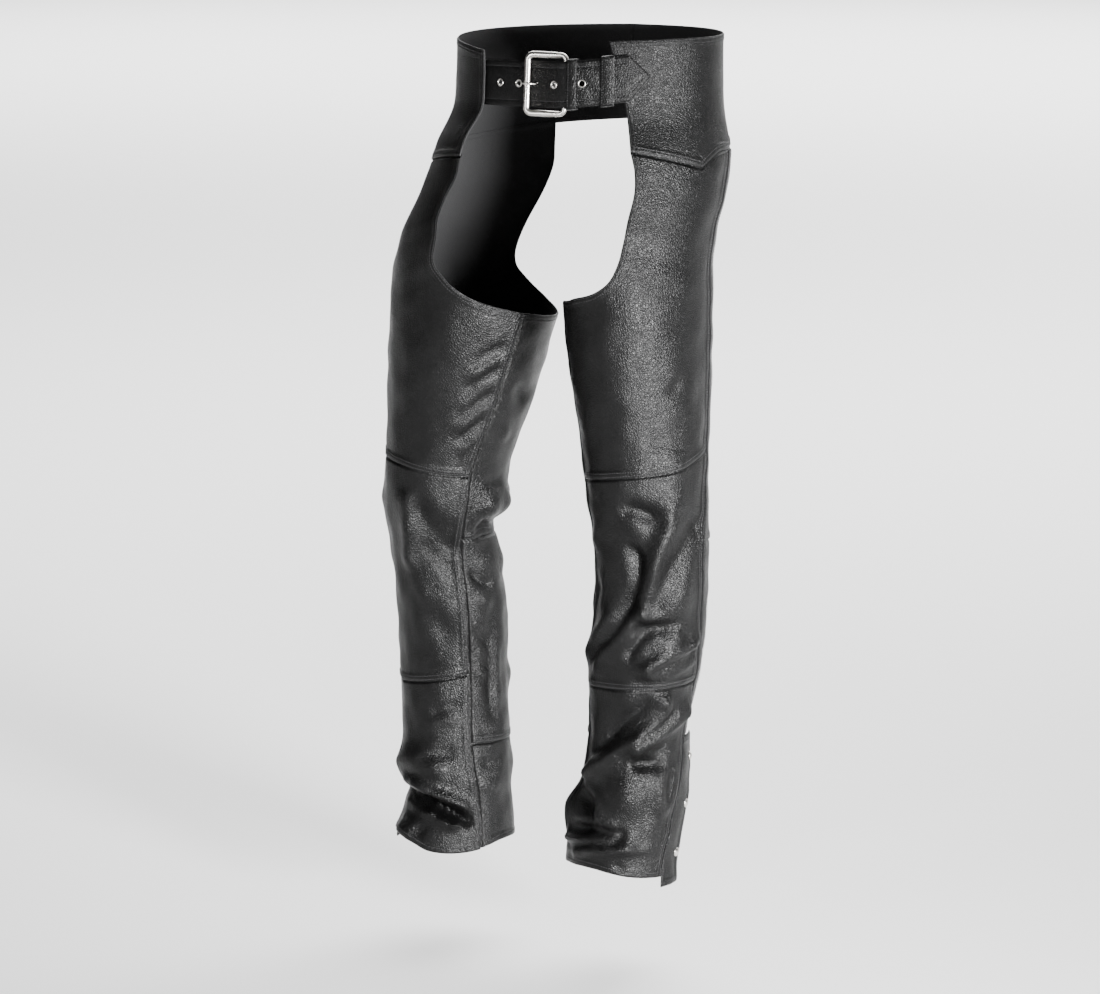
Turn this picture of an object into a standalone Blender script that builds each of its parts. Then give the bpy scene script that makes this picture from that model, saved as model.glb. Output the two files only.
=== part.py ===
"""A pair of black leather riding chaps, hollow, in the shape that they have when they are worn.

Metres, +Z up. The origin is the middle of the waist at the belt's centre line, where the wearer
holds the garment. The front faces -Y, and the wearer's left is +X. Each leg is one smooth surface,
addressed by an angle round the leg and a height. Angle 0 is the front, 90 the outer side, 180 the
back and -90 the inner side. Every cut piece is a wall laid on its own patch of that surface.
"""

import math

import bmesh
import bpy
import numpy as np
from mathutils import Matrix, Vector

# Driving dimensions
WALL = 0.0020
STRIP_THICK = 0.0014
SEAM_GAP = 0.0003
LAY_GAP = 0.0008
CROTCH_HEIGHT = -0.252
CROTCH_RISE = 0.030
HIP_HEIGHT = -0.100
STRIP_WIDTH = 0.016
FLAP_WIDTH = 0.034
FLAP_DROP = 0.012
FLAP_FLARE = 0.003
BELT_WIDTH = 0.051
BELT_THICK = 0.0030
BUCKLE_STRAP_THICK = 0.0012
KEEPER_THICK = 0.0015
ROD = 0.0029
TONGUE_ROD = 0.0015
BUCKLE_HEIGHT = 0.070
BUCKLE_CORNER = 0.0065
KEEPER_CORNER = 0.0030
TIP_END = 0.0012
CAP_RADIUS = 0.0052
CAP_DOME = 0.0022
EYELET_RADIUS = 0.0046
EYELET_HOLE = 0.0030
EYELET_FLATNESS = 0.7
WAIST_PER_DEGREE = 0.00265
FOLD_RADIUS = 0.068
SIDES = ("left", "right")

# Sections of each leg. Distances are outward and back from the waist's middle.
LEG_COLUMNS = ("height", "outward", "back", "half_width", "half_depth", "turn")
LEG_SECTIONS = {
    "left": (
        (-0.930, 0.062, -0.048, 0.0620, 0.070, 20),
        (-0.880, 0.064, -0.048, 0.0620, 0.070, 18),
        (-0.830, 0.069, -0.045, 0.0630, 0.070, 17),
        (-0.780, 0.078, -0.042, 0.0580, 0.067, 15),
        (-0.730, 0.080, -0.038, 0.0550, 0.067, 14),
        (-0.670, 0.087, -0.037, 0.0610, 0.072, 12),
        (-0.600, 0.097, -0.043, 0.0635, 0.075, 10),
        (-0.520, 0.103, -0.052, 0.0630, 0.075, 8),
        (-0.450, 0.099, -0.058, 0.0670, 0.079, 7),
        (-0.380, 0.093, -0.053, 0.0710, 0.087, 5),
        (-0.320, 0.087, -0.048, 0.0750, 0.098, 4),
        (-0.270, 0.083, -0.045, 0.0780, 0.105, 3),
        (-0.200, 0.080, -0.042, 0.0810, 0.108, 2),
    ),
    "right": (
        (-0.930, 0.163, -0.024, 0.0650, 0.0745, 28),
        (-0.880, 0.162, -0.021, 0.0640, 0.073, 28),
        (-0.845, 0.158, -0.019, 0.0580, 0.065, 28),
        (-0.810, 0.161, -0.017, 0.0610, 0.068, 27),
        (-0.760, 0.163, -0.014, 0.0580, 0.065, 27),
        (-0.690, 0.167, -0.012, 0.0580, 0.065, 26),
        (-0.610, 0.165, -0.019, 0.0600, 0.067, 22),
        (-0.540, 0.171, -0.028, 0.0590, 0.066, 16),
        (-0.490, 0.167, -0.034, 0.0660, 0.074, 13),
        (-0.440, 0.161, -0.034, 0.0690, 0.078, 12),
        (-0.380, 0.149, -0.033, 0.0800, 0.086, 9),
        (-0.320, 0.138, -0.031, 0.0880, 0.096, 7),
        (-0.270, 0.130, -0.030, 0.0945, 0.100, 5),
        (-0.200, 0.126, -0.028, 0.0980, 0.102, 3),
    ),
}

# Sections of waist and hip, shared by both sides.
BODY_COLUMNS = ("height", "left", "back", "half_width", "half_depth")
BODY_SECTIONS = (
    (-0.270, -0.026, -0.040, 0.176, 0.135),
    (-0.200, -0.019, -0.036, 0.176, 0.135),
    (-0.130, -0.010, -0.020, 0.176, 0.134),
    (-0.075, -0.004, -0.008, 0.1710, 0.1300),
    (-0.036, 0.000, -0.002, 0.1590, 0.1175),
    (0.000, 0.000, 0.000, 0.1565, 0.1145),
    (0.030, 0.000, 0.001, 0.1558, 0.1140),
    (0.060, 0.000, 0.002, 0.1552, 0.1136),
)

# Lines of the cut. Each row is an angle with the line's height on the left and on the right leg.
LINE_COLUMNS = ("angle", "left_height", "right_height")
WAIST_TOP = (
    (27, 0.0455, 0.0300),
    (45, 0.0470, 0.0360),
    (90, 0.0490, 0.0450),
    (135, 0.0520, 0.0500),
    (180, 0.0530, 0.0530),
)
YOKE_SEAM_FRONT = ((34, -0.071, -0.084), (52, -0.0800, -0.0885), (73, -0.0925, -0.0965))
YOKE_SEAM_BACK = (
    (73, -0.0925, -0.0965),
    (84, -0.0780, -0.0850),
    (96, -0.0760, -0.0800),
    (122, -0.0690, -0.0720),
    (150, -0.0600, -0.0620),
    (180, -0.0550, -0.0550),
)
KNEE_SEAM = (
    (-67, -0.4400, -0.4515),
    (-33, -0.4340, -0.4470),
    (0, -0.4286, -0.4395),
    (30, -0.4250, -0.4340),
    (55, -0.4205, -0.4310),
    (98, -0.4050, -0.4250),
)
SHIN_SEAM = ((-75, -0.675, -0.686), (-30, -0.674, -0.6945), (0, -0.673, -0.698), (96, -0.672, -0.697))
KNEE_BACK_SEAM = ((70, -0.510, -0.527), (300, -0.510, -0.527))
CALF_SEAM = ((70, -0.737, -0.770), (180, -0.737, -0.772), (300, -0.737, -0.767))
HEM = (
    (-110, -0.895, -0.886),
    (-70, -0.884, -0.894),
    (-50, -0.882, -0.894),
    (-30, -0.881, -0.891),
    (-13, -0.883, -0.883),
    (15, -0.889, -0.8755),
    (50, -0.894, -0.882),
    (90, -0.897, -0.890),
    (180, -0.898, -0.893),
    (250, -0.895, -0.886),
    (290, -0.884, -0.894),
)

# Free edges as points along the surface, from the waist down to the top of the inseam.
EDGE_COLUMNS = ("angle", "height")
YOKE_FRONT_EDGE = {
    "left": ((27, 0.0455), (28, 0.036), (30.4, 0.0086), (33.8, -0.020), (36, -0.047), (38, -0.0735)),
    "right": ((32.5, 0.0315), (31.8, -0.003), (32.0, -0.031), (35.0, -0.058), (34.5, -0.0845)),
}
FRONT_EDGE = {
    "left": (
        (38.0, -0.0735),
        (40.7, -0.095),
        (41.7, -0.116),
        (38.7, -0.147),
        (34.3, -0.172),
        (27.4, -0.193),
        (15.1, -0.213),
        (-2.1, -0.226),
        (-19.4, -0.232),
        (-42.0, -0.238),
        (-67.0, -0.243),
    ),
    "right": (
        (34.5, -0.0845),
        (33.0, -0.106),
        (33.8, -0.132),
        (30.4, -0.151),
        (21.0, -0.176),
        (11.2, -0.202),
        (-5.0, -0.2225),
        (-22.0, -0.238),
        (-40.0, -0.250),
        (-67.0, -0.262),
    ),
}
BACK_EDGE = {
    "left": (
        (148, -0.0606),
        (150, -0.095),
        (153, -0.130),
        (159, -0.168),
        (170, -0.205),
        (187, -0.233),
        (208, -0.250),
        (235, -0.256),
        (265, -0.253),
        (293, -0.243),
    ),
    "right": (
        (148, -0.0626),
        (150, -0.097),
        (153, -0.134),
        (159, -0.174),
        (170, -0.213),
        (187, -0.243),
        (208, -0.262),
        (235, -0.270),
        (265, -0.269),
        (293, -0.262),
    ),
}

# The two long lines of each leg, which are not straight on the cut leather.
LONG_LINE_COLUMNS = ("height", "angle")
INSEAM = ((-0.93, -84), (-0.87, -83), (-0.83, -78), (-0.78, -72), (-0.69, -72), (-0.62, -67), (-0.20, -67))
SIDE_LINE = (
    (-0.93, 52),
    (-0.87, 56),
    (-0.81, 66),
    (-0.75, 78),
    (-0.68, 83),
    (-0.60, 77),
    (-0.53, 79),
    (-0.45, 90),
    (-0.38, 97),
    (-0.28, 98),
    (0.06, 96),
)

# The largest folds: a path over the leg from one point to another, bowed sideways in its middle.
# Lean makes one flank of the fold wider than the other.
FOLD_COLUMNS = ("angle_1", "height_1", "angle_2", "height_2", "bow", "width", "lean", "depth")
FOLDS = {
    "left": (
        (48, -0.395, 40, -0.476, 0.004, 0.016, 0.2, 0.0035),
        (41, -0.476, 4, -0.590, -0.006, 0.012, 0.3, 0.0060),
        (78, -0.480, 16, -0.585, -0.004, 0.013, 0.0, -0.0050),
        (-8, -0.466, 36, -0.486, 0.010, 0.010, 0.0, -0.0045),
        (-6, -0.500, -8, -0.585, 0.016, 0.012, 0.0, -0.0050),
        (45, -0.540, 30, -0.590, 0.000, 0.022, 0.0, 0.0050),
        (2, -0.606, 52, -0.600, 0.006, 0.009, 0.0, -0.0065),
        (50, -0.606, 6, -0.654, 0.004, 0.010, 0.0, 0.0045),
        (76, -0.618, 8, -0.656, 0.004, 0.009, 0.0, 0.0050),
        (-20, -0.585, -72, -0.650, 0.000, 0.013, 0.0, 0.0050),
        (-60, -0.660, -30, -0.668, 0.000, 0.020, 0.0, 0.0050),
        (44, -0.682, -58, -0.782, -0.004, 0.011, 0.4, 0.0070),
        (30, -0.690, -30, -0.735, 0.000, 0.016, 0.0, -0.0050),
        (82, -0.697, 0, -0.746, -0.003, 0.012, 0.0, 0.0060),
        (8, -0.757, 52, -0.757, 0.003, 0.010, 0.0, -0.0060),
        (50, -0.752, 46, -0.822, -0.010, 0.009, 0.0, 0.0050),
        (4, -0.780, 4, -0.815, 0.000, 0.024, 0.0, 0.0080),
        (-50, -0.800, -30, -0.820, 0.000, 0.013, 0.0, -0.0050),
        (-75, -0.800, -85, -0.845, 0.000, 0.020, 0.0, 0.0060),
        (-60, -0.842, 8, -0.841, 0.002, 0.008, 0.0, -0.0060),
        (-70, -0.856, 20, -0.855, 0.002, 0.009, 0.0, 0.0050),
        (170, -0.455, 235, -0.480, 0.004, 0.013, 0.0, -0.0055),
        (160, -0.490, 240, -0.505, 0.004, 0.013, 0.0, 0.0050),
        (150, -0.530, 225, -0.520, -0.005, 0.012, 0.0, -0.0050),
        (130, -0.640, 215, -0.600, 0.006, 0.016, 0.0, 0.0045),
        (140, -0.690, 230, -0.665, 0.004, 0.013, 0.0, -0.0050),
        (120, -0.760, 210, -0.735, 0.005, 0.014, 0.0, 0.0055),
        (125, -0.800, 225, -0.785, 0.004, 0.012, 0.0, -0.0050),
        (130, -0.845, 220, -0.830, 0.004, 0.013, 0.0, 0.0045),
    ),
    "right": (
        (-4, -0.470, -8, -0.560, -0.003, 0.010, 0.2, 0.0040),
        (-12, -0.480, -62, -0.546, 0.004, 0.013, 0.0, -0.0045),
        (-80, -0.478, -125, -0.490, 0.003, 0.016, 0.0, 0.0060),
        (-84, -0.516, -150, -0.520, 0.000, 0.011, 0.0, -0.0075),
        (-85, -0.552, -140, -0.560, 0.000, 0.018, 0.0, 0.0045),
        (-100, -0.610, -103, -0.745, 0.002, 0.012, 0.0, -0.0040),
        (-20, -0.610, -55, -0.640, 0.000, 0.016, 0.0, -0.0030),
        (30, -0.800, -45, -0.795, -0.008, 0.014, 0.0, 0.0060),
        (25, -0.829, -74, -0.858, -0.004, 0.008, -0.3, -0.0085),
        (12, -0.812, -70, -0.844, -0.004, 0.008, 0.0, 0.0045),
        (-25, -0.842, -66, -0.860, 0.008, 0.006, 0.0, 0.0040),
        (60, -0.826, 20, -0.832, 0.000, 0.010, 0.0, -0.0060),
        (15, -0.868, -20, -0.876, 0.000, 0.012, 0.0, 0.0050),
        (100, -0.800, 60, -0.795, 0.004, 0.014, 0.0, 0.0050),
        (190, -0.500, 250, -0.490, 0.004, 0.014, 0.0, 0.0045),
        (150, -0.530, 210, -0.520, 0.004, 0.013, 0.0, -0.0055),
        (140, -0.570, 215, -0.560, 0.004, 0.014, 0.0, 0.0040),
        (100, -0.660, 190, -0.630, 0.006, 0.016, 0.0, -0.0040),
        (110, -0.720, 215, -0.700, 0.006, 0.016, 0.0, 0.0045),
        (105, -0.780, 200, -0.765, 0.004, 0.013, 0.0, -0.0050),
        (110, -0.840, 215, -0.825, 0.004, 0.013, 0.0, -0.0050),
    ),
}

# The belt as seen from above: an angle round the waist, and how far the middle of the leather
# stands off the yoke's outer face. Positive angles are on the wearer's left.
BELT_COLUMNS = ("angle", "offset")
BELT_PATH = (
    (-62, -0.0044),
    (-50, -0.0044),
    (-38, -0.0044),
    (-33, -0.0044),
    (-26, -0.0040),
    (-19, -0.0030),
    (-12, -0.0022),
    (-7.4, -0.0021),
    (-2, 0.0002),
    (3, 0.0042),
    (8, 0.0086),
    (12, 0.0090),
    (17, 0.0076),
    (23, 0.0060),
    (30, 0.0055),
    (37, 0.0055),
    (44.8, 0.0055),
)
BELT_RISE = ((-62, -0.0030), (-22, -0.0022), (-8, -0.0020), (11, -0.0020), (20, 0.0004), (36, 0.0055), (45, 0.0077))
HEEL_BAR = (9.2, 0.0021)
FRONT_BAR = (-7.4, 0.0031)
BUCKLE_STRAP_FROM = 33.5
TIP_FROM, TIP_TO = 36.0, 44.8
KEEPERS = {"inner": (10.9, 14.6), "outer": (24.2, 29.6)}
EYELET_ANGLES = (-22.4, -12.2, 5.4, 16.6)
TONGUE_COLUMNS = ("angle", "offset")
TONGUE_PATH = (
    (6.2, -0.0022),
    (2.5, -0.0025),
    (0.0, -0.0030),
    (-1.8, -0.0034),
    (-3.2, -0.0030),
    (-4.0, -0.0008),
    (-4.6, 0.0022),
    (-5.3, 0.0052),
    (-6.3, 0.0072),
    (-7.6, 0.0076),
    (-8.8, 0.0072),
)
TONGUE_HOLE = (-4.0, 0.0039, 0.0023)

# Grid sizes
ROWS = {
    "yoke": 6,
    "front_edge": 11,
    "thigh_inseam": 9,
    "shin_front": 14,
    "cuff_front": 13,
    "seat": 10,
    "thigh_back": 9,
    "back_middle": 13,
    "back_lower": 9,
}
FRONT_COLUMNS = (7, 5)
BACK_COLUMNS = 10
CENTRE_BACK_COLUMNS = 4
YOKE_COLUMNS = 4
SEAT_COLUMNS = 11
SEAT_RISE = 0.40
SEAT_DOWN = 0.50
BELT_STEPS = 44
TONGUE_STEPS = 20
CORNER_STEPS = 5
HOLE_SEGMENTS = 12
SNAP_ROWS = (("snap_top", 1), ("snap_middle", 4), ("snap_low", 7))


def through(x, xs, ys):
    """A smooth curve through the points (xs, ys), read at x, and level beyond its two ends."""
    xs, ys = np.asarray(xs, float), np.asarray(ys, float)
    slopes = np.gradient(ys, xs)
    i = np.clip(np.searchsorted(xs, x) - 1, 0, len(xs) - 2)
    step = xs[i + 1] - xs[i]
    t = np.clip((x - xs[i]) / step, 0, 1)
    start = (1 + 2 * t) * (1 - t) ** 2 * ys[i] + t * (1 - t) ** 2 * step * slopes[i]
    end = t**2 * (3 - 2 * t) * ys[i + 1] + t**2 * (t - 1) * step * slopes[i + 1]
    return start + end


def eased(low, high, x):
    """0 below low, 1 above high, and a smooth step between."""
    t = np.clip((x - low) / (high - low), 0, 1)
    return t * t * (3 - 2 * t)


def columns_at(rows, x):
    """Each further column of a table, read smoothly at x in its first column."""
    table = np.array(sorted(rows), float)
    return [through(x, table[:, 0], table[:, i]) for i in range(1, table.shape[1])]


def line_height(rows, side, angle):
    """Height of a line of the cut at an angle."""
    return columns_at(rows, angle)[SIDES.index(side)]


def bare_surface(side, angle, height):
    """The leg and half waist before folds: an ellipse at each height, turned with the foot. It
    passes over, between crotch and hip, to the ellipse that both sides share."""
    angle, height = np.broadcast_arrays(np.asarray(angle, float), np.asarray(height, float))
    sign = 1 if side == "left" else -1
    outward, back, wide, deep, turn = columns_at(LEG_SECTIONS[side], height)
    a, turn = np.radians(angle), np.radians(turn)
    across, along = wide * np.sin(a), -deep * np.cos(a)
    leg_x = outward + across * np.cos(turn) - along * np.sin(turn)
    leg_y = back + across * np.sin(turn) + along * np.cos(turn)
    middle, body_back, wide, deep = columns_at(BODY_SECTIONS, height)
    inner = eased(150, 200, angle % 360) * (1 - eased(300, 340, angle % 360))
    share = eased(CROTCH_HEIGHT + CROTCH_RISE * inner, HIP_HEIGHT, height)
    x = leg_x * (1 - share) + (sign * middle + wide * np.sin(a)) * share
    y = leg_y * (1 - share) + (body_back - deep * np.cos(a)) * share
    return np.stack([sign * x, y, height], -1)


def steps_of(side, angle, height):
    """How the bare surface moves per degree and per metre of height."""
    turn, rise = 0.5, 0.002
    per_degree = bare_surface(side, angle + turn, height) - bare_surface(side, angle - turn, height)
    per_metre = bare_surface(side, angle, height + rise) - bare_surface(side, angle, height - rise)
    return per_degree / (2 * turn), per_metre / (2 * rise)


def outward_of(side, angle, height):
    """The outward direction of the bare surface."""
    per_degree, per_metre = steps_of(side, angle, height)
    normal = np.cross(per_degree, per_metre)
    normal = normal if side == "left" else -normal
    return normal / np.linalg.norm(normal, axis=-1, keepdims=True)


def fold_height(folds, angle, height):
    """How far the folds lift the leather. Each is a bowed path with a bell-shaped section that
    fades out past both ends of the path."""
    lift = np.zeros(np.broadcast(angle, height).shape)
    for angle_1, height_1, angle_2, height_2, bow, width, lean, depth in folds:
        middle = (angle_1 + angle_2) / 2
        turned = (angle - middle + 180) % 360 - 180 + middle
        run = math.radians(angle_2 - angle_1) * FOLD_RADIUS
        rise = height_2 - height_1
        length = math.hypot(run, rise)
        x = np.radians(turned - angle_1) * FOLD_RADIUS
        y = height - height_1
        along = (x * run + y * rise) / length**2
        across = (y * run - x * rise) / length - 4 * bow * np.clip(along, 0, 1) * (1 - np.clip(along, 0, 1))
        flank = width * (1 + lean * np.sign(across))
        margin = 0.8 * width / length
        fade = eased(-margin, 1.6 * margin, along) * eased(-margin, 1.6 * margin, 1 - along)
        lift += depth * np.exp(-((across / flank) ** 2)) * fade
    return lift


def surface(side, angle, height, lift=0.0):
    """The outer face of the leather, moved out by lift."""
    angle, height = np.broadcast_arrays(np.asarray(angle, float), np.asarray(height, float))
    out = fold_height(FOLDS[side], angle, height) + lift
    return bare_surface(side, angle, height) + outward_of(side, angle, height) * out[..., None]


def degrees_for(side, angle, height, distance):
    """The change of angle that moves a point of the surface sideways by a distance."""
    per_degree, _ = steps_of(side, np.asarray(angle, float), np.asarray(height, float))
    return distance / np.linalg.norm(per_degree, axis=-1)


def spaced(points, count, rise=1.0):
    """count + 1 points, evenly spaced along a smooth curve through the given points. A lower rise
    puts fewer of them on its steep parts."""
    points = np.array(points, float)
    scaled = points * (math.radians(1) * FOLD_RADIUS, rise)
    reach = np.concatenate([[0], np.cumsum(np.linalg.norm(np.diff(scaled, axis=0), axis=1))])
    at = np.linspace(0, reach[-1], count + 1)
    return np.stack([through(at, reach, points[:, 0]), through(at, reach, points[:, 1])], -1)


def long_line(rows, heights):
    """Points (angle, height) down the inseam or the side line."""
    heights = np.asarray(heights, float)
    return np.stack([columns_at(rows, heights)[0], heights], -1)


def seam_line(rows, side, angles):
    """Points (angle, height) along a line of the cut."""
    angles = np.asarray(angles, float)
    return np.stack([angles, line_height(rows, side, angles)], -1)


def joined(*runs):
    """One run of points from several that meet end to end."""
    return np.concatenate([runs[0], *(run[1:] for run in runs[1:])])


def shared(start, end, count):
    return np.linspace(start, end, count + 1)


def meeting_angle(rows, seam, side, guess):
    """Angle and height where a long line meets a seam."""
    angle = guess
    for _ in range(20):
        height = float(line_height(seam, side, np.array(angle, float)))
        angle = float(columns_at(rows, np.array(height))[0]) + (360 if guess > 180 else 0)
    return angle, height


def between(top, bottom, left, right, across=None, down=None):
    """A grid of points (angle, height) that fills the space inside four runs of points. Across and
    down give how far along each column and row lies, when they are not even."""
    s = (np.linspace(0, 1, len(top)) if across is None else across)[None, :, None]
    t = (np.linspace(0, 1, len(left)) if down is None else down)[:, None, None]
    rows = (1 - t) * top[None] + t * bottom[None]
    columns = (1 - s) * left[:, None] + s * right[:, None]
    corners = (1 - t) * ((1 - s) * top[0] + s * top[-1]) + t * ((1 - s) * bottom[0] + s * bottom[-1])
    return rows + columns - corners


def drawn_in(side, grid, gap=SEAM_GAP / 2):
    """The same grid with its border drawn in by half a seam gap on each of its four sides."""
    grid = grid.copy()
    for column, sign in ((0, 1), (-1, -1)):
        edge = grid[:, column]
        edge[:, 0] += sign * degrees_for(side, edge[:, 0], edge[:, 1], gap)
    grid[0, :, 1] -= gap
    grid[-1, :, 1] += gap
    return grid


def new_material(name, colour, roughness, metallic):
    material = bpy.data.materials.new(name)
    material.use_nodes = True
    shader = material.node_tree.nodes["Principled BSDF"]
    shader.inputs["Base Color"].default_value = (*colour, 1)
    shader.inputs["Roughness"].default_value = roughness
    shader.inputs["Metallic"].default_value = metallic
    return material


def keep(obj, collection, material):
    """Puts a finished object in the garment's collection with its one material."""
    for old in list(obj.users_collection):
        old.objects.unlink(obj)
    collection.objects.link(obj)
    obj.data.materials.clear()
    obj.data.materials.append(material)
    return obj


def lofted_wall(name, outer, inner):
    """A closed wall between two grids of points of the same shape. Both faces are split along the
    same diagonals, so pieces that lie on each other stay parallel."""
    rows, columns = outer.shape[:2]
    index = np.arange(rows * columns).reshape(rows, columns)
    a, b, c, d = index[:-1, :-1], index[1:, :-1], index[1:, 1:], index[:-1, 1:]
    outside = np.concatenate([np.stack([a, b, c], -1), np.stack([a, c, d], -1)]).reshape(-1, 3)
    inside = outside[:, ::-1] + rows * columns
    border = np.concatenate([index[0, :-1], index[:-1, -1], index[-1, :0:-1], index[:, 0][::-1]])
    low, high = border + rows * columns, border
    rim = np.concatenate(
        [
            np.stack([high[:-1], high[1:], low[1:]], -1),
            np.stack([high[:-1], low[1:], low[:-1]], -1),
        ]
    )
    mesh = bpy.data.meshes.new(name)
    points = np.concatenate([outer.reshape(-1, 3), inner.reshape(-1, 3)])
    mesh.from_pydata(points.tolist(), [], np.concatenate([outside, inside, rim]).tolist())
    shaped = bmesh.new()
    shaped.from_mesh(mesh)
    bmesh.ops.recalc_face_normals(shaped, faces=shaped.faces)
    shaped.to_mesh(mesh)
    shaped.free()
    mesh.shade_smooth()
    mesh.set_sharp_from_angle(angle=math.radians(50))
    obj = bpy.data.objects.new(name, mesh)
    bpy.context.scene.collection.objects.link(obj)
    return obj


def laid_wall(name, side, grid, lift=0.0, thick=WALL):
    """A wall on a patch of the surface, its outer face at lift."""
    angle, height = grid[..., 0], grid[..., 1]
    lift = np.broadcast_to(lift, angle.shape)
    return lofted_wall(name, surface(side, angle, height, lift), surface(side, angle, height, lift - thick))


def front_angles(start, end):
    """Columns of a front piece along the yoke seam, with one on the seam's low point."""
    low_point = YOKE_SEAM_FRONT[-1][0]
    first, second = FRONT_COLUMNS
    return joined(shared(start, low_point, first), shared(low_point, end, second))


def yoke_seam(side, angles):
    """The yoke's lower seam, which has a corner at its low point."""
    low_point = YOKE_SEAM_FRONT[-1][0]
    front = line_height(YOKE_SEAM_FRONT, side, np.minimum(angles, low_point))
    back = line_height(YOKE_SEAM_BACK, side, np.maximum(angles, low_point))
    return np.stack([angles, np.where(angles <= low_point, front, back)], -1)


def leg_patches(side):
    """Grid of points (angle, height) for each cut piece of one leg."""
    front_start = FRONT_EDGE[side][0][0]
    back_end = BACK_EDGE[side][0][0]
    side_top = 96.0
    seam_front = yoke_seam(side, front_angles(front_start, side_top))
    crotch_front = FRONT_EDGE[side][-1]
    knee_in = meeting_angle(INSEAM, KNEE_SEAM, side, -67)
    knee_out = meeting_angle(SIDE_LINE, KNEE_SEAM, side, 92)
    shin_in = meeting_angle(INSEAM, SHIN_SEAM, side, -72)
    shin_out = meeting_angle(SIDE_LINE, SHIN_SEAM, side, 83)
    hem_in = meeting_angle(INSEAM, HEM, side, -83)
    hem_out = meeting_angle(SIDE_LINE, HEM, side, 53)
    count = sum(FRONT_COLUMNS)
    knee = seam_line(KNEE_SEAM, side, shared(knee_in[0], knee_out[0], count))
    shin = seam_line(SHIN_SEAM, side, shared(shin_in[0], shin_out[0], count))
    hem = seam_line(HEM, side, shared(hem_in[0], hem_out[0], count))

    patches = {}
    edge = spaced(FRONT_EDGE[side], ROWS["front_edge"])
    inseam = long_line(INSEAM, shared(crotch_front[1], knee_in[1], ROWS["thigh_inseam"]))
    left = joined(edge, inseam)
    right = long_line(SIDE_LINE, shared(seam_front[-1, 1], knee_out[1], len(left) - 1))
    patches["thigh_front"] = between(seam_front, knee, left, right)
    for name, top, bottom in (("shin_front", knee, shin), ("cuff_front", shin, hem)):
        left = long_line(INSEAM, shared(top[0, 1], bottom[0, 1], ROWS[name]))
        right = long_line(SIDE_LINE, shared(top[-1, 1], bottom[-1, 1], ROWS[name]))
        patches[name] = between(top, bottom, left, right)

    patches.update(back_patches(side, side_top, back_end))

    waist_start = YOKE_FRONT_EDGE[side][0][0]
    thigh_back_top = patches["thigh_back"][0, : YOKE_COLUMNS + 3, 0]
    centre_back = shared(thigh_back_top[-1], 180, CENTRE_BACK_COLUMNS)
    bottom = yoke_seam(side, joined(seam_front[:, 0], thigh_back_top, centre_back))
    top_angles = joined(
        shared(waist_start, side_top, count),
        side_top + (thigh_back_top - side_top) * 0.98,
        shared(side_top + (thigh_back_top[-1] - side_top) * 0.98, 180, CENTRE_BACK_COLUMNS),
    )
    top = seam_line(WAIST_TOP, side, top_angles)
    left = spaced(YOKE_FRONT_EDGE[side], ROWS["yoke"])
    right = np.stack([np.full(len(left), 180.0), shared(top[-1, 1], bottom[-1, 1], ROWS["yoke"])], -1)
    top[0], bottom[0] = left[0], left[-1]
    patches["yoke"] = between(top, bottom, left, right)
    return patches


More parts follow.
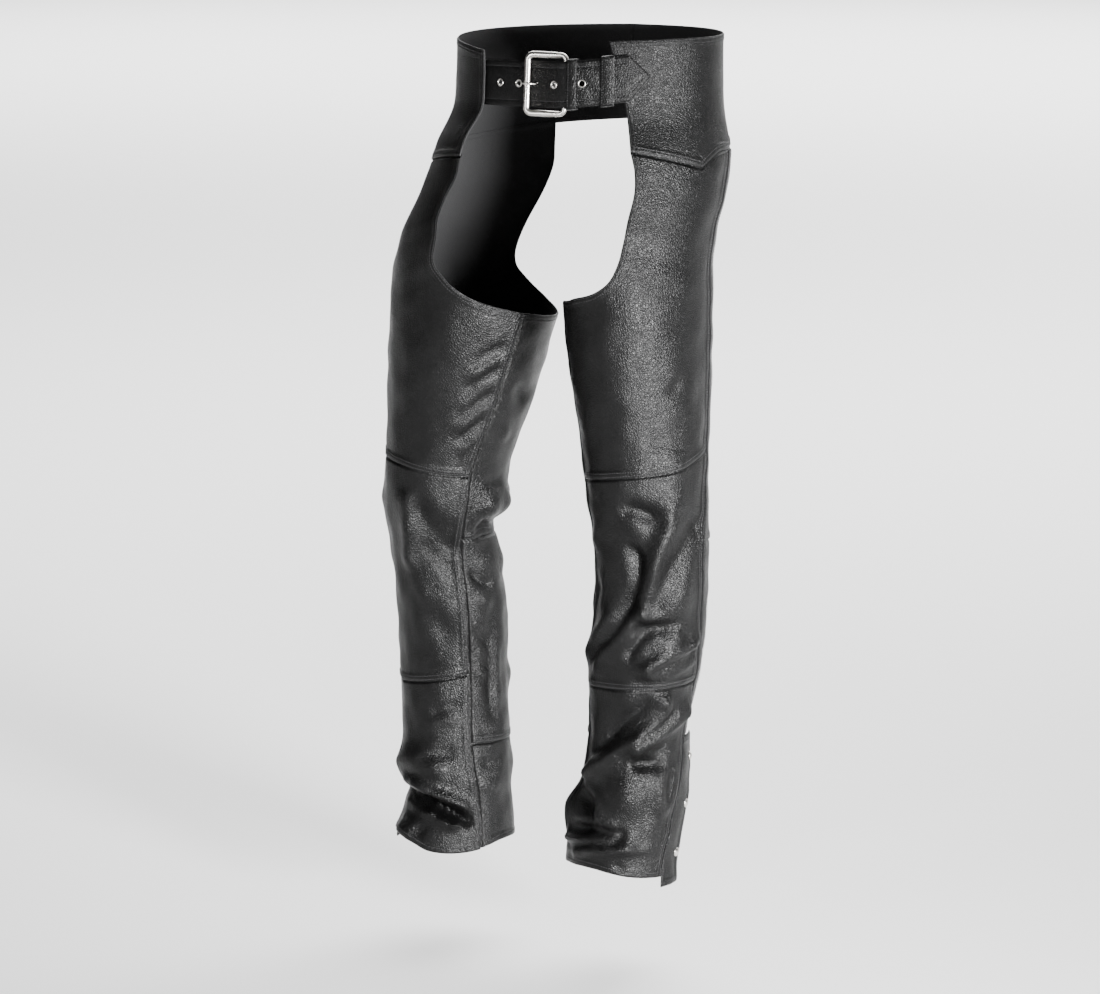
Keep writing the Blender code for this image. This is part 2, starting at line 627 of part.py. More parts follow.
def back_patches(side, side_top, back_end):
    """Grids of the three back pieces. Their first two columns follow the side line, a strip's width
    and a flap's width from it, for the strip and the flap that lie on them. The top of the thigh
    piece runs along the yoke seam and then down its free edge."""
    crotch_back = BACK_EDGE[side][-1]
    knee_in = meeting_angle(INSEAM, KNEE_BACK_SEAM, side, 293)
    knee_out = meeting_angle(SIDE_LINE, KNEE_BACK_SEAM, side, 82)
    calf_in = meeting_angle(INSEAM, CALF_SEAM, side, 288)
    calf_out = meeting_angle(SIDE_LINE, CALF_SEAM, side, 80)
    hem_in = meeting_angle(INSEAM, HEM, side, 277)
    hem_out = meeting_angle(SIDE_LINE, HEM, side, 53)

    def levels(seam, start, end, across):
        """A seam's points: the side line, strip and flap lines, then columns to its end."""
        height = float(seam(np.array(start)))
        marks = [start + float(degrees_for(side, start, height, w)) for w in (STRIP_WIDTH, FLAP_WIDTH)]
        angles = np.concatenate([[start, marks[0]], marks[1] + (end - marks[1]) * across])
        return np.stack([angles, seam(angles)], -1)

    def filled(top, bottom, across, down):
        """The grid of one piece between two seams, with its right border on the inseam."""
        marks = [long_line(SIDE_LINE, top[0, 1] + (bottom[0, 1] - top[0, 1]) * down)]
        for width, column in ((STRIP_WIDTH, 1), (FLAP_WIDTH, 2)):
            heights = top[column, 1] + (bottom[column, 1] - top[column, 1]) * down
            start = columns_at(SIDE_LINE, heights)[0]
            marks.append(np.stack([start + degrees_for(side, start, heights, width), heights], -1))
            marks[-1][0], marks[-1][-1] = top[column], bottom[column]
        right = long_line(INSEAM, top[-1, 1] + (bottom[-1, 1] - top[-1, 1]) * down)
        right[:, 0] += 360
        right[0], right[-1] = top[-1], bottom[-1]
        rest = between(top[2:], bottom[2:], marks[2], right, across, down)
        return np.concatenate([marks[0][:, None], marks[1][:, None], rest], axis=1)

    even = shared(0, 1, BACK_COLUMNS)
    yoke_line = levels(lambda a: yoke_seam(side, a)[..., 1], side_top, back_end, shared(0, 1, YOKE_COLUMNS))
    thigh_top = joined(yoke_line, spaced(BACK_EDGE[side], SEAT_COLUMNS, SEAT_RISE))
    thigh_across = (thigh_top[2:, 0] - thigh_top[2, 0]) / (crotch_back[0] - thigh_top[2, 0])
    thigh_down = joined(shared(0, SEAT_DOWN, ROWS["seat"]), shared(SEAT_DOWN, 1, ROWS["thigh_back"]))
    knee_wide = levels(lambda a: line_height(KNEE_BACK_SEAM, side, a), knee_out[0], knee_in[0], thigh_across)
    knee_line = levels(lambda a: line_height(KNEE_BACK_SEAM, side, a), knee_out[0], knee_in[0], even)
    calf_line = levels(lambda a: line_height(CALF_SEAM, side, a), calf_out[0], calf_in[0], even)
    hem_line = levels(lambda a: line_height(HEM, side, a), hem_out[0], hem_in[0], even)
    return {
        "thigh_back": filled(thigh_top, knee_wide, thigh_across, thigh_down),
        "back_middle": filled(knee_line, calf_line, even, shared(0, 1, ROWS["back_middle"])),
        "back_lower": filled(calf_line, hem_line, even, shared(0, 1, ROWS["back_lower"])),
    }


def make_leg(side, collection, leather):
    """The seven cut pieces of one leg, with the strip and the flap that lie on the back ones."""
    patches = leg_patches(side)
    for name, grid in patches.items():
        keep(laid_wall(f"{name}_{side}", side, drawn_in(side, grid)), collection, leather)

    strip = np.concatenate([patches["thigh_back"][:, :2], patches["back_middle"][1:, :2]])
    strip_lift = SEAM_GAP + STRIP_THICK
    wall = laid_wall(f"side_strip_{side}", side, drawn_in(side, strip, LAY_GAP), strip_lift, STRIP_THICK)
    keep(wall, collection, leather)

    flap = patches["back_lower"][:, :3]
    flap = np.concatenate([flap, flap[-1:] - (0, FLAP_DROP)])
    out = SEAM_GAP + STRIP_THICK + np.array([0.0, 0.4, 1.0]) * FLAP_FLARE
    lift = np.broadcast_to(out, flap.shape[:2])
    flap = drawn_in(side, flap)
    keep(laid_wall(f"snap_flap_{side}", side, flap, lift, STRIP_THICK), collection, leather)
    return flap, lift


def belt_height(angle):
    """Height of the belt's centre line, which rises toward its tip."""
    return columns_at(BELT_RISE, angle)[0]


def belt_offset(angle):
    """How far the middle of the belt's leather stands off the yoke's outer face."""
    return float(through(angle, *np.array(BELT_PATH).T))


def on_belt(angle, offset, above=0.0):
    """A point at an angle round the waist, standing off the yoke's outer face by offset. Above is
    measured straight up the flat of the belt, from its centre line."""
    angle, offset, above = np.broadcast_arrays(*(np.asarray(v, float) for v in (angle, offset, above)))
    height = belt_height(angle)
    _, up = steps_of("left", angle, height)
    up /= np.linalg.norm(up, axis=-1, keepdims=True)
    outward = outward_of("left", angle, height)
    return bare_surface("left", angle, height) + outward * offset[..., None] + up * above[..., None]


def two_faces(path, thick):
    """The two sides of a run of points (angle, offset) that is the middle of a piece of leather."""
    path = np.asarray(path, float)
    per_degree = WAIST_PER_DEGREE
    step = np.gradient(path * (per_degree, 1), axis=0)
    step /= np.linalg.norm(step, axis=1, keepdims=True)
    side = np.stack([-step[:, 1] / per_degree, step[:, 0]], -1) * thick / 2
    return path + side, path - side


def smooth_path(points, count):
    """count + 1 points (angle, offset) along a smooth curve, read by angle."""
    points = np.array(sorted(points), float)
    angles = np.linspace(points[0, 0], points[-1, 0], count + 1)
    return np.stack([angles, through(angles, points[:, 0], points[:, 1])], -1)


def belt_band(name, path, thick, half_height, rows):
    """A strap: its middle follows path, and half_height gives its half width at each point."""
    faces = []
    level = np.linspace(1, -1, rows + 1)[:, None]
    for face in two_faces(path, thick):
        faces.append(on_belt(face[:, 0], face[:, 1], level * half_height))
    return lofted_wall(name, *faces)


def tilted_to(angle, offset, lifted=0.0, reach=1.0):
    """A matrix on a belt's centre line whose Z points out of the belt and whose Y points up.
    Offset gives how far the belt's middle stands off at an angle, and lifted is measured from it."""
    points = [Vector(on_belt(a, offset(a)).tolist()) for a in (angle - reach, angle, angle + reach)]
    up = Vector((on_belt(angle, 0.0, 1.0) - on_belt(angle, 0.0)).tolist())
    outward = (points[2] - points[0]).cross(up).normalized()
    place = points[1] + outward * lifted
    across = up.cross(outward).normalized()
    turn = Matrix((across, outward.cross(across), outward)).transposed().to_4x4()
    return Matrix.Translation(place) @ turn


def add_cutter(name, cutters, matrix, size=None, radius=None, depth=0.03):
    """A box or a round bar that a Boolean cuts with."""
    mesh = bpy.data.meshes.new(name)
    shaped = bmesh.new()
    if size:
        bmesh.ops.create_cube(shaped, size=1, matrix=Matrix.Diagonal((*size, 1)))
    else:
        bmesh.ops.create_cone(
            shaped, cap_ends=True, segments=HOLE_SEGMENTS, radius1=radius, radius2=radius, depth=depth
        )
    shaped.to_mesh(mesh)
    shaped.free()
    cutter = bpy.data.objects.new(name, mesh)
    cutter.matrix_world = matrix
    cutter.hide_render = True
    cutter.display_type = "WIRE"
    cutters.objects.link(cutter)
    return cutter


def cut(obj, cutter):
    boolean = obj.modifiers.new(cutter.name, "BOOLEAN")
    boolean.operation = "DIFFERENCE"
    boolean.object = cutter


def make_belt_strap(collection, cutters, leather):
    """The strap with its pointed tip, its round eyelet holes and the long hole for the tongue."""
    path = smooth_path(BELT_PATH, BELT_STEPS)
    tip = np.clip((path[:, 0] - TIP_FROM) / (TIP_TO - TIP_FROM), 0, 1)
    half = BELT_WIDTH / 2 * (1 - tip) + TIP_END * tip
    strap = keep(belt_band("belt_strap", path, BELT_THICK, half, 4), collection, leather)
    for number, angle in enumerate(EYELET_ANGLES, 1):
        matrix = tilted_to(angle, belt_offset)
        cut(strap, add_cutter(f"eyelet_hole_{number}", cutters, matrix, radius=EYELET_HOLE))
    angle, half_length, half_high = TONGUE_HOLE
    matrix = tilted_to(angle, belt_offset)
    cut(strap, add_cutter("tongue_hole", cutters, matrix, size=(2 * half_length, 2 * half_high, 0.03)))
    return strap


def make_buckle_strap(collection, cutters, leather):
    """The short folded strap: out from the yoke, round the heel bar and back on itself."""
    bar_angle, bar_offset = HEEL_BAR
    loop = ROD + SEAM_GAP + BUCKLE_STRAP_THICK / 2
    lower = LAY_GAP + BUCKLE_STRAP_THICK / 2
    upper = lower + BUCKLE_STRAP_THICK + SEAM_GAP
    turn = np.radians(np.linspace(-60, -300, 15))
    round_bar = np.stack(
        [bar_angle + loop * np.cos(turn) / WAIST_PER_DEGREE, bar_offset + loop * np.sin(turn)], -1
    )
    meet = bar_angle + 2.6 * loop / WAIST_PER_DEGREE
    flat = np.linspace(BUCKLE_STRAP_FROM, meet, 9)
    path = np.concatenate(
        [
            np.stack([flat, np.full(9, lower)], -1),
            round_bar,
            np.stack([flat[::-1], np.full(9, upper)], -1),
        ]
    )
    half = np.full(len(path), BELT_WIDTH / 2 - 0.0012)
    strap = belt_band("buckle_strap", path, BUCKLE_STRAP_THICK, half, 3)
    keep(strap, collection, leather)
    matrix = tilted_to(bar_angle, lambda angle: bar_offset)
    slot = (4 * loop, 2 * TONGUE_ROD + 0.0016, 0.02)
    cut(strap, add_cutter("tongue_slot", cutters, matrix, size=slot))


def round_bar_curve(name, points, radius, cyclic):
    """A bar of round section along points."""
    curve = bpy.data.curves.new(name, "CURVE")
    curve.dimensions = "3D"
    curve.bevel_depth = radius
    curve.bevel_resolution = 2
    curve.use_fill_caps = not cyclic
    spline = curve.splines.new("POLY")
    spline.points.add(len(points) - 1)
    for spot, point in zip(spline.points, points):
        spot.co = (*point, 1)
    spline.use_cyclic_u = cyclic
    obj = bpy.data.objects.new(name, curve)
    bpy.context.scene.collection.objects.link(obj)
    return obj


def make_buckle(collection, nickel):
    """The frame is a flat ring of round bar with rounded corners. The tongue hooks under its heel
    bar, passes up through the strap and rests on its front bar."""
    front = Vector(on_belt(*FRONT_BAR).tolist())
    heel = Vector(on_belt(*HEEL_BAR).tolist())
    middle = (front + heel) / 2
    across = (heel - front).normalized()
    up = Vector((on_belt(*FRONT_BAR, 1.0) + on_belt(*HEEL_BAR, 1.0)).tolist()) / 2 - middle
    up = (up - across * up.dot(across)).normalized()
    half_wide, half_high = (heel - front).length / 2, BUCKLE_HEIGHT / 2 - ROD
    points = []
    for right, top, start in ((1, 1, 0), (-1, 1, 90), (-1, -1, 180), (1, -1, 270)):
        for step in range(CORNER_STEPS + 1):
            a = math.radians(start + 90 * step / CORNER_STEPS)
            x = right * (half_wide - BUCKLE_CORNER) + BUCKLE_CORNER * math.cos(a)
            y = top * (half_high - BUCKLE_CORNER) + BUCKLE_CORNER * math.sin(a)
            points.append(middle + across * x + up * y)
    keep(round_bar_curve("buckle_frame", points, ROD, True), collection, nickel)

    bar_angle, bar_offset = HEEL_BAR
    hook = ROD + SEAM_GAP + TONGUE_ROD
    turn = np.radians(np.linspace(-20, -90, 5))
    hooked = np.stack(
        [bar_angle + hook * np.cos(turn) / WAIST_PER_DEGREE, bar_offset + hook * np.sin(turn)], -1
    )
    free = smooth_path(TONGUE_PATH, TONGUE_STEPS)[::-1]
    path = np.concatenate([hooked, free])
    points = on_belt(path[:, 0], path[:, 1])
    keep(round_bar_curve("buckle_tongue", points.tolist(), TONGUE_ROD, False), collection, nickel)


def make_keeper(name, span, collection, leather):
    """A loop of leather over the straps, its two ends tucked in at their edges."""
    start, end = span
    top = max(belt_offset(start), belt_offset(end)) + BELT_THICK / 2 + LAY_GAP + KEEPER_THICK / 2
    side = BELT_WIDTH / 2 + LAY_GAP + KEEPER_THICK / 2
    low, corner = LAY_GAP + KEEPER_THICK / 2, KEEPER_CORNER
    turn = np.radians(np.linspace(0, 90, 4))
    rise = np.stack([side - corner * (1 - np.cos(turn)), top - corner * (1 - np.sin(turn))], -1)
    half = np.concatenate([[(side, low)], rise, [(side / 2, top)]])
    path = np.concatenate([half * (-1, 1), [(0, top)], half[::-1]])
    step = np.gradient(path, axis=0)
    step /= np.linalg.norm(step, axis=1, keepdims=True)
    normal = np.stack([-step[:, 1], step[:, 0]], -1) * KEEPER_THICK / 2
    angles = np.linspace(start, end, 3)[:, None]
    faces = []
    for face in (path + normal, path - normal):
        faces.append(on_belt(angles, face[:, 1], face[:, 0]))
    keep(lofted_wall(name, *faces), collection, leather)


def make_eyelets(collection, nickel):
    """Flat nickel rings round the strap's holes."""
    thick = (EYELET_RADIUS - EYELET_HOLE) / 2
    for number, angle in enumerate(EYELET_ANGLES, 1):
        bpy.ops.mesh.primitive_torus_add(
            major_segments=18,
            minor_segments=6,
            major_radius=EYELET_HOLE + thick,
            minor_radius=thick,
        )
        ring = bpy.context.object
        ring.name = f"eyelet_{number}"
        ring.data.transform(Matrix.Diagonal((1, 1, EYELET_FLATNESS, 1)))
        ring.data.shade_smooth()
        lifted = BELT_THICK / 2 + SEAM_GAP + thick * EYELET_FLATNESS
        ring.matrix_world = tilted_to(angle, belt_offset, lifted)
        keep(ring, collection, nickel)


def make_snaps(side, flap, lift, collection, nickel):
    """Three domed caps on the flap, each over the middle of a cell of its second column."""
    profile = ((0, CAP_DOME), (0.55, 0.86), (0.85, 0.50), (1, 0.20), (1, 0), (0, 0))
    for name, row in SNAP_ROWS:
        cell = flap[row : row + 2, 1:3].reshape(-1, 2)
        lifts = lift[row : row + 2, 1:3].reshape(-1)
        corners = surface(side, cell[:, 0], cell[:, 1], lifts)
        middle = corners.mean(axis=0)
        outward = np.cross(corners[1] - corners[2], corners[3] - corners[0])
        outward /= np.linalg.norm(outward)
        if outward @ outward_of(side, cell[0, 0], cell[0, 1]) < 0:
            outward = -outward
        proud = max((corners - middle) @ outward)
        mesh = bpy.data.meshes.new(f"{name}_{side}")
        points = [(r * CAP_RADIUS if i else 0, 0, z * (CAP_DOME if i else 1)) for i, (r, z) in enumerate(profile)]
        mesh.from_pydata(points, [(i, i + 1) for i in range(len(points) - 1)], [])
        cap = bpy.data.objects.new(mesh.name, mesh)
        screw = cap.modifiers.new("turned", "SCREW")
        screw.steps = screw.render_steps = 14
        screw.use_merge_vertices = True
        screw.merge_threshold = 0.00005
        facing = Vector(outward.tolist()).to_track_quat("Z", "Y").to_matrix().to_4x4()
        place = Vector((middle + outward * (proud + SEAM_GAP)).tolist())
        cap.matrix_world = Matrix.Translation(place) @ facing
        bpy.context.scene.collection.objects.link(cap)
        keep(cap, collection, nickel)


def main():
    for obj in list(bpy.data.objects):
        bpy.data.objects.remove(obj, do_unlink=True)
    garment = bpy.data.collections.new("leather_chaps")
    cutters = bpy.data.collections.new("cutters")
    bpy.context.scene.collection.children.link(garment)
    bpy.context.scene.collection.children.link(cutters)
    leather = new_material("black_leather", (0.012, 0.012, 0.013), 0.42, 0.0)
    nickel = new_material("satin_nickel", (0.62, 0.60, 0.56), 0.30, 1.0)
    for side in SIDES:
        flap, lift = make_leg(side, garment, leather)
        make_snaps(side, flap, lift, garment, nickel)
    make_belt_strap(garment, cutters, leather)
    make_buckle_strap(garment, cutters, leather)
    make_buckle(garment, nickel)
    for place, span in KEEPERS.items():
        make_keeper(f"keeper_{place}", span, garment, leather)
    make_eyelets(garment, nickel)


main()
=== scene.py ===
# %% [markdown]
# # A pair of black leather riding chaps
# Chaps are cut from a few flat panels of leather and sewn into two open legs that hang from a
# belt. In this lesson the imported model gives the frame: where each panel lies and how big it is.
# We then build each panel again as a thin leather shell with its folds, its turned edges and its
# stitching, and give leather and nickel their finish.

import math

import bmesh
import bpy
import numpy as np
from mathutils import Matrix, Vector


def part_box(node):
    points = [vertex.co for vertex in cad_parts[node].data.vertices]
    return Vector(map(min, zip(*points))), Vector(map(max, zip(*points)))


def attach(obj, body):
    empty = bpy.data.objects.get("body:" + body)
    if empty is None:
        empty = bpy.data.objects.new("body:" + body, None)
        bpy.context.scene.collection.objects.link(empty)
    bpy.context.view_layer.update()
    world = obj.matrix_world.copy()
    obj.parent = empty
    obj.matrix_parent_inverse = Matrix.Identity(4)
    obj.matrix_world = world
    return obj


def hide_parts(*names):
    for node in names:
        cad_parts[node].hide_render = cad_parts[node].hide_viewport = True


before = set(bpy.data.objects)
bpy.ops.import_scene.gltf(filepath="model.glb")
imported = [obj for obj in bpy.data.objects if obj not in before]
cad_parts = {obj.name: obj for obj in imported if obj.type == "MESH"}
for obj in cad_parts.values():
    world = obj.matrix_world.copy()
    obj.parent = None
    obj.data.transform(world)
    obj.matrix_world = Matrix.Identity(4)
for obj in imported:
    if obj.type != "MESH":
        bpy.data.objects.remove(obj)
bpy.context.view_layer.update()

# %% [markdown]
# The leather follows one smooth surface for each leg. A table of sections gives the leg's width
# and depth at each height, and a second table gives the waist, which both sides share. Every
# place on the leather is an angle round the leg and a height: angle 0 is the front, 90 the outer
# side, 180 the back and -90 the inner side. Distances are metres, and the tables are written in
# millimetres to be easy to read.

# %% Sections of the legs and the waist
SIDES = ("left", "right")
CROTCH_HEIGHT, CROTCH_RISE, HIP_HEIGHT = -0.252, 0.030, -0.100
FOLD_RADIUS = 0.068
FOLD_PER_DEGREE = math.radians(1) * FOLD_RADIUS
MM = 1000


def metres(rows, units):
    """A table, or one for each side, with its columns divided by their units: MM for lengths."""
    if isinstance(rows, dict):
        return {side: metres(rows_of_side, units) for side, rows_of_side in rows.items()}
    return [tuple(row) for row in (np.array(rows, float) / units).tolist()]


# height, outward, back, half_width, half_depth, turn
LEG_SECTIONS = metres({
    "left": (
        (-930, 62, -48, 62, 70, 20), (-880, 64, -48, 62, 70, 18), (-830, 69, -45, 63, 70, 17),
        (-780, 78, -42, 58, 67, 15), (-730, 80, -38, 55, 67, 14), (-670, 87, -37, 61, 72, 12),
        (-600, 97, -43, 63.5, 75, 10), (-520, 103, -52, 63, 75, 8), (-450, 99, -58, 67, 79, 7),
        (-380, 93, -53, 71, 87, 5), (-320, 87, -48, 75, 98, 4), (-270, 83, -45, 78, 105, 3),
        (-200, 80, -42, 81, 108, 2),
    ),
    "right": (
        (-930, 163, -24, 65, 74.5, 28), (-880, 162, -21, 64, 73, 28),
        (-845, 158, -19, 58, 65, 28), (-810, 161, -17, 61, 68, 27), (-760, 163, -14, 58, 65, 27),
        (-690, 167, -12, 58, 65, 26), (-610, 165, -19, 60, 67, 22), (-540, 171, -28, 59, 66, 16),
        (-490, 167, -34, 66, 74, 13), (-440, 161, -34, 69, 78, 12), (-380, 149, -33, 80, 86, 9),
        (-320, 138, -31, 88, 96, 7), (-270, 130, -30, 94.5, 100, 5), (-200, 126, -28, 98, 102, 3),
    ),
}, (MM, MM, MM, MM, MM, 1))

# height, left, back, half_width, half_depth
BODY_SECTIONS = metres((
    (-270, -26, -40, 176, 135), (-200, -19, -36, 176, 135), (-130, -10, -20, 176, 134),
    (-75, -4, -8, 171, 130), (-36, 0, -2, 159, 117.5), (0, 0, 0, 156.5, 114.5),
    (30, 0, 1, 155.8, 114), (60, 0, 2, 155.2, 113.6),
), (MM, MM, MM, MM, MM))

print("sections:", {side: len(rows) for side, rows in LEG_SECTIONS.items()})

# %% [markdown]
# A surface is worked out for whole arrays at once: give the function a grid of angles and
# heights and it returns a grid of points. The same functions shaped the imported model, so each
# panel built here lies on its frame, with folds a little deeper.

# %% Functions of the leather's surface
def through(x, xs, ys):
    """A smooth curve through the points (xs, ys), read at x, and level beyond its two ends."""
    xs, ys = np.asarray(xs, float), np.asarray(ys, float)
    slopes = np.gradient(ys, xs)
    i = np.clip(np.searchsorted(xs, x) - 1, 0, len(xs) - 2)
    step = xs[i + 1] - xs[i]
    t = np.clip((x - xs[i]) / step, 0, 1)
    start = (1 + 2 * t) * (1 - t) ** 2 * ys[i] + t * (1 - t) ** 2 * step * slopes[i]
    end = t**2 * (3 - 2 * t) * ys[i + 1] + t**2 * (t - 1) * step * slopes[i + 1]
    return start + end


def eased(low, high, x):
    """0 below low, 1 above high, and a smooth step between."""
    t = np.clip((x - low) / (high - low), 0, 1)
    return t * t * (3 - 2 * t)


def bell(x, width):
    """1 at x = 0, falling off smoothly on both sides within about twice the width."""
    return np.exp(-((x / width) ** 2))


def unit(vectors):
    """Vectors made 1 long."""
    return vectors / np.linalg.norm(vectors, axis=-1, keepdims=True)


def apart(places):
    """The angles and the heights of a grid of (angle, height)."""
    return places[..., 0], places[..., 1]


def reach_along(points):
    """How far along a run of points each of them is."""
    return np.concatenate([[0], np.cumsum(np.linalg.norm(np.diff(points, axis=0), axis=1))])


def columns_at(rows, x):
    """Each further column of a table, read smoothly at x in its first column."""
    table = np.array(sorted(rows), float)
    return [through(x, table[:, 0], table[:, i]) for i in range(1, table.shape[1])]


def line_height(rows, side, angle):
    """Height of a line of the cut at an angle."""
    return columns_at(rows, angle)[SIDES.index(side)]


def bare_surface(side, angle, height):
    """The leg and half waist before folds: an ellipse at each height, turned with the foot. It
    passes over, between crotch and hip, to the ellipse that both sides share."""
    angle, height = np.broadcast_arrays(np.asarray(angle, float), np.asarray(height, float))
    sign = 1 if side == "left" else -1
    outward, back, wide, deep, turn = columns_at(LEG_SECTIONS[side], height)
    a, turn = np.radians(angle), np.radians(turn)
    across, along = wide * np.sin(a), -deep * np.cos(a)
    leg_x = outward + across * np.cos(turn) - along * np.sin(turn)
    leg_y = back + across * np.sin(turn) + along * np.cos(turn)
    middle, body_back, wide, deep = columns_at(BODY_SECTIONS, height)
    inner = eased(150, 200, angle % 360) * (1 - eased(300, 340, angle % 360))
    share = eased(CROTCH_HEIGHT + CROTCH_RISE * inner, HIP_HEIGHT, height)
    x = leg_x * (1 - share) + (sign * middle + wide * np.sin(a)) * share
    y = leg_y * (1 - share) + (body_back - deep * np.cos(a)) * share
    return np.stack([sign * x, y, height], -1)


def steps_of(side, angle, height):
    """How the bare surface moves per degree and per metre of height."""
    turn, rise = 0.5, 0.002
    left, right = (bare_surface(side, angle + sign * turn, height) for sign in (-1, 1))
    low, high = (bare_surface(side, angle, height + sign * rise) for sign in (-1, 1))
    return (right - left) / (2 * turn), (high - low) / (2 * rise)


def outward_of(side, angle, height):
    """The outward direction of the bare surface."""
    normal = np.cross(*steps_of(side, angle, height))
    return unit(normal if side == "left" else -normal)


print("hip point:", bare_surface("left", 90.0, -0.10).round(4))

# %% [markdown]
# The lines of the cut come from the seams of the real thing. Each row gives an angle and the
# height of the line on the left and on the right leg, because the two legs stand differently.

# %% Lines of the cut
WAIST_TOP = metres((
    (27, 45.5, 30), (45, 47, 36), (90, 49, 45), (135, 52, 50), (180, 53, 53),
), (1, MM, MM))
YOKE_SEAM_FRONT = metres((
    (34, -71, -84), (52, -80, -88.5), (73, -92.5, -96.5),
), (1, MM, MM))
YOKE_SEAM_BACK = metres((
    (73, -92.5, -96.5), (84, -78, -85), (96, -76, -80), (122, -69, -72), (150, -60, -62),
    (180, -55, -55),
), (1, MM, MM))
KNEE_SEAM = metres((
    (-67, -440, -451.5), (-33, -434, -447), (0, -428.6, -439.5), (30, -425, -434),
    (55, -420.5, -431), (98, -405, -425),
), (1, MM, MM))
SHIN_SEAM = metres((
    (-75, -675, -686), (-30, -674, -694.5), (0, -673, -698), (96, -672, -697),
), (1, MM, MM))
KNEE_BACK_SEAM = metres((
    (70, -510, -527), (300, -510, -527),
), (1, MM, MM))
CALF_SEAM = metres((
    (70, -737, -770), (180, -737, -772), (300, -737, -767),
), (1, MM, MM))
HEM = metres((
    (-110, -895, -886), (-70, -884, -894), (-50, -882, -894), (-30, -881, -891),
    (-13, -883, -883), (15, -889, -875.5), (50, -894, -882), (90, -897, -890), (180, -898, -893),
    (250, -895, -886), (290, -884, -894),
), (1, MM, MM))

YOKE_FRONT_EDGE = metres({
    "left": (
        (27, 45.5), (28, 36), (30.4, 8.6), (33.8, -20), (36, -47), (38, -73.5),
    ),
    "right": (
        (32.5, 31.5), (31.8, -3), (32, -31), (35, -58), (34.5, -84.5),
    ),
}, (1, MM))
FRONT_EDGE = metres({
    "left": (
        (38, -73.5), (40.7, -95), (41.7, -116), (38.7, -147), (34.3, -172), (27.4, -193),
        (15.1, -213), (-2.1, -226), (-19.4, -232), (-42, -238), (-67, -243),
    ),
    "right": (
        (34.5, -84.5), (33, -106), (33.8, -132), (30.4, -151), (21, -176), (11.2, -202),
        (-5, -222.5), (-22, -238), (-40, -250), (-67, -262),
    ),
}, (1, MM))
BACK_EDGE = metres({
    "left": (
        (148, -60.6), (150, -95), (153, -130), (159, -168), (170, -205), (187, -233), (208, -250),
        (235, -256), (265, -253), (293, -243),
    ),
    "right": (
        (148, -62.6), (150, -97), (153, -134), (159, -174), (170, -213), (187, -243), (208, -262),
        (235, -270), (265, -269), (293, -262),
    ),
}, (1, MM))

INSEAM = metres((
    (-930, -84), (-870, -83), (-830, -78), (-780, -72), (-690, -72), (-620, -67), (-200, -67),
), (MM, 1))
SIDE_LINE = metres((
    (-930, 52), (-870, 56), (-810, 66), (-750, 78), (-680, 83), (-600, 77), (-530, 79),
    (-450, 90), (-380, 97), (-280, 98), (60, 96),
), (MM, 1))

print("knee seam at the front:", [line_height(KNEE_SEAM, side, 0.0) for side in SIDES])

# %% [markdown]
# Leather that has been worn keeps its folds. The first table holds the large ones, which the
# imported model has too, there a little shallower. Each is a path from one place on the leg to
# another, bowed in its middle, with a width, a lean and a depth. A negative depth is a trough.

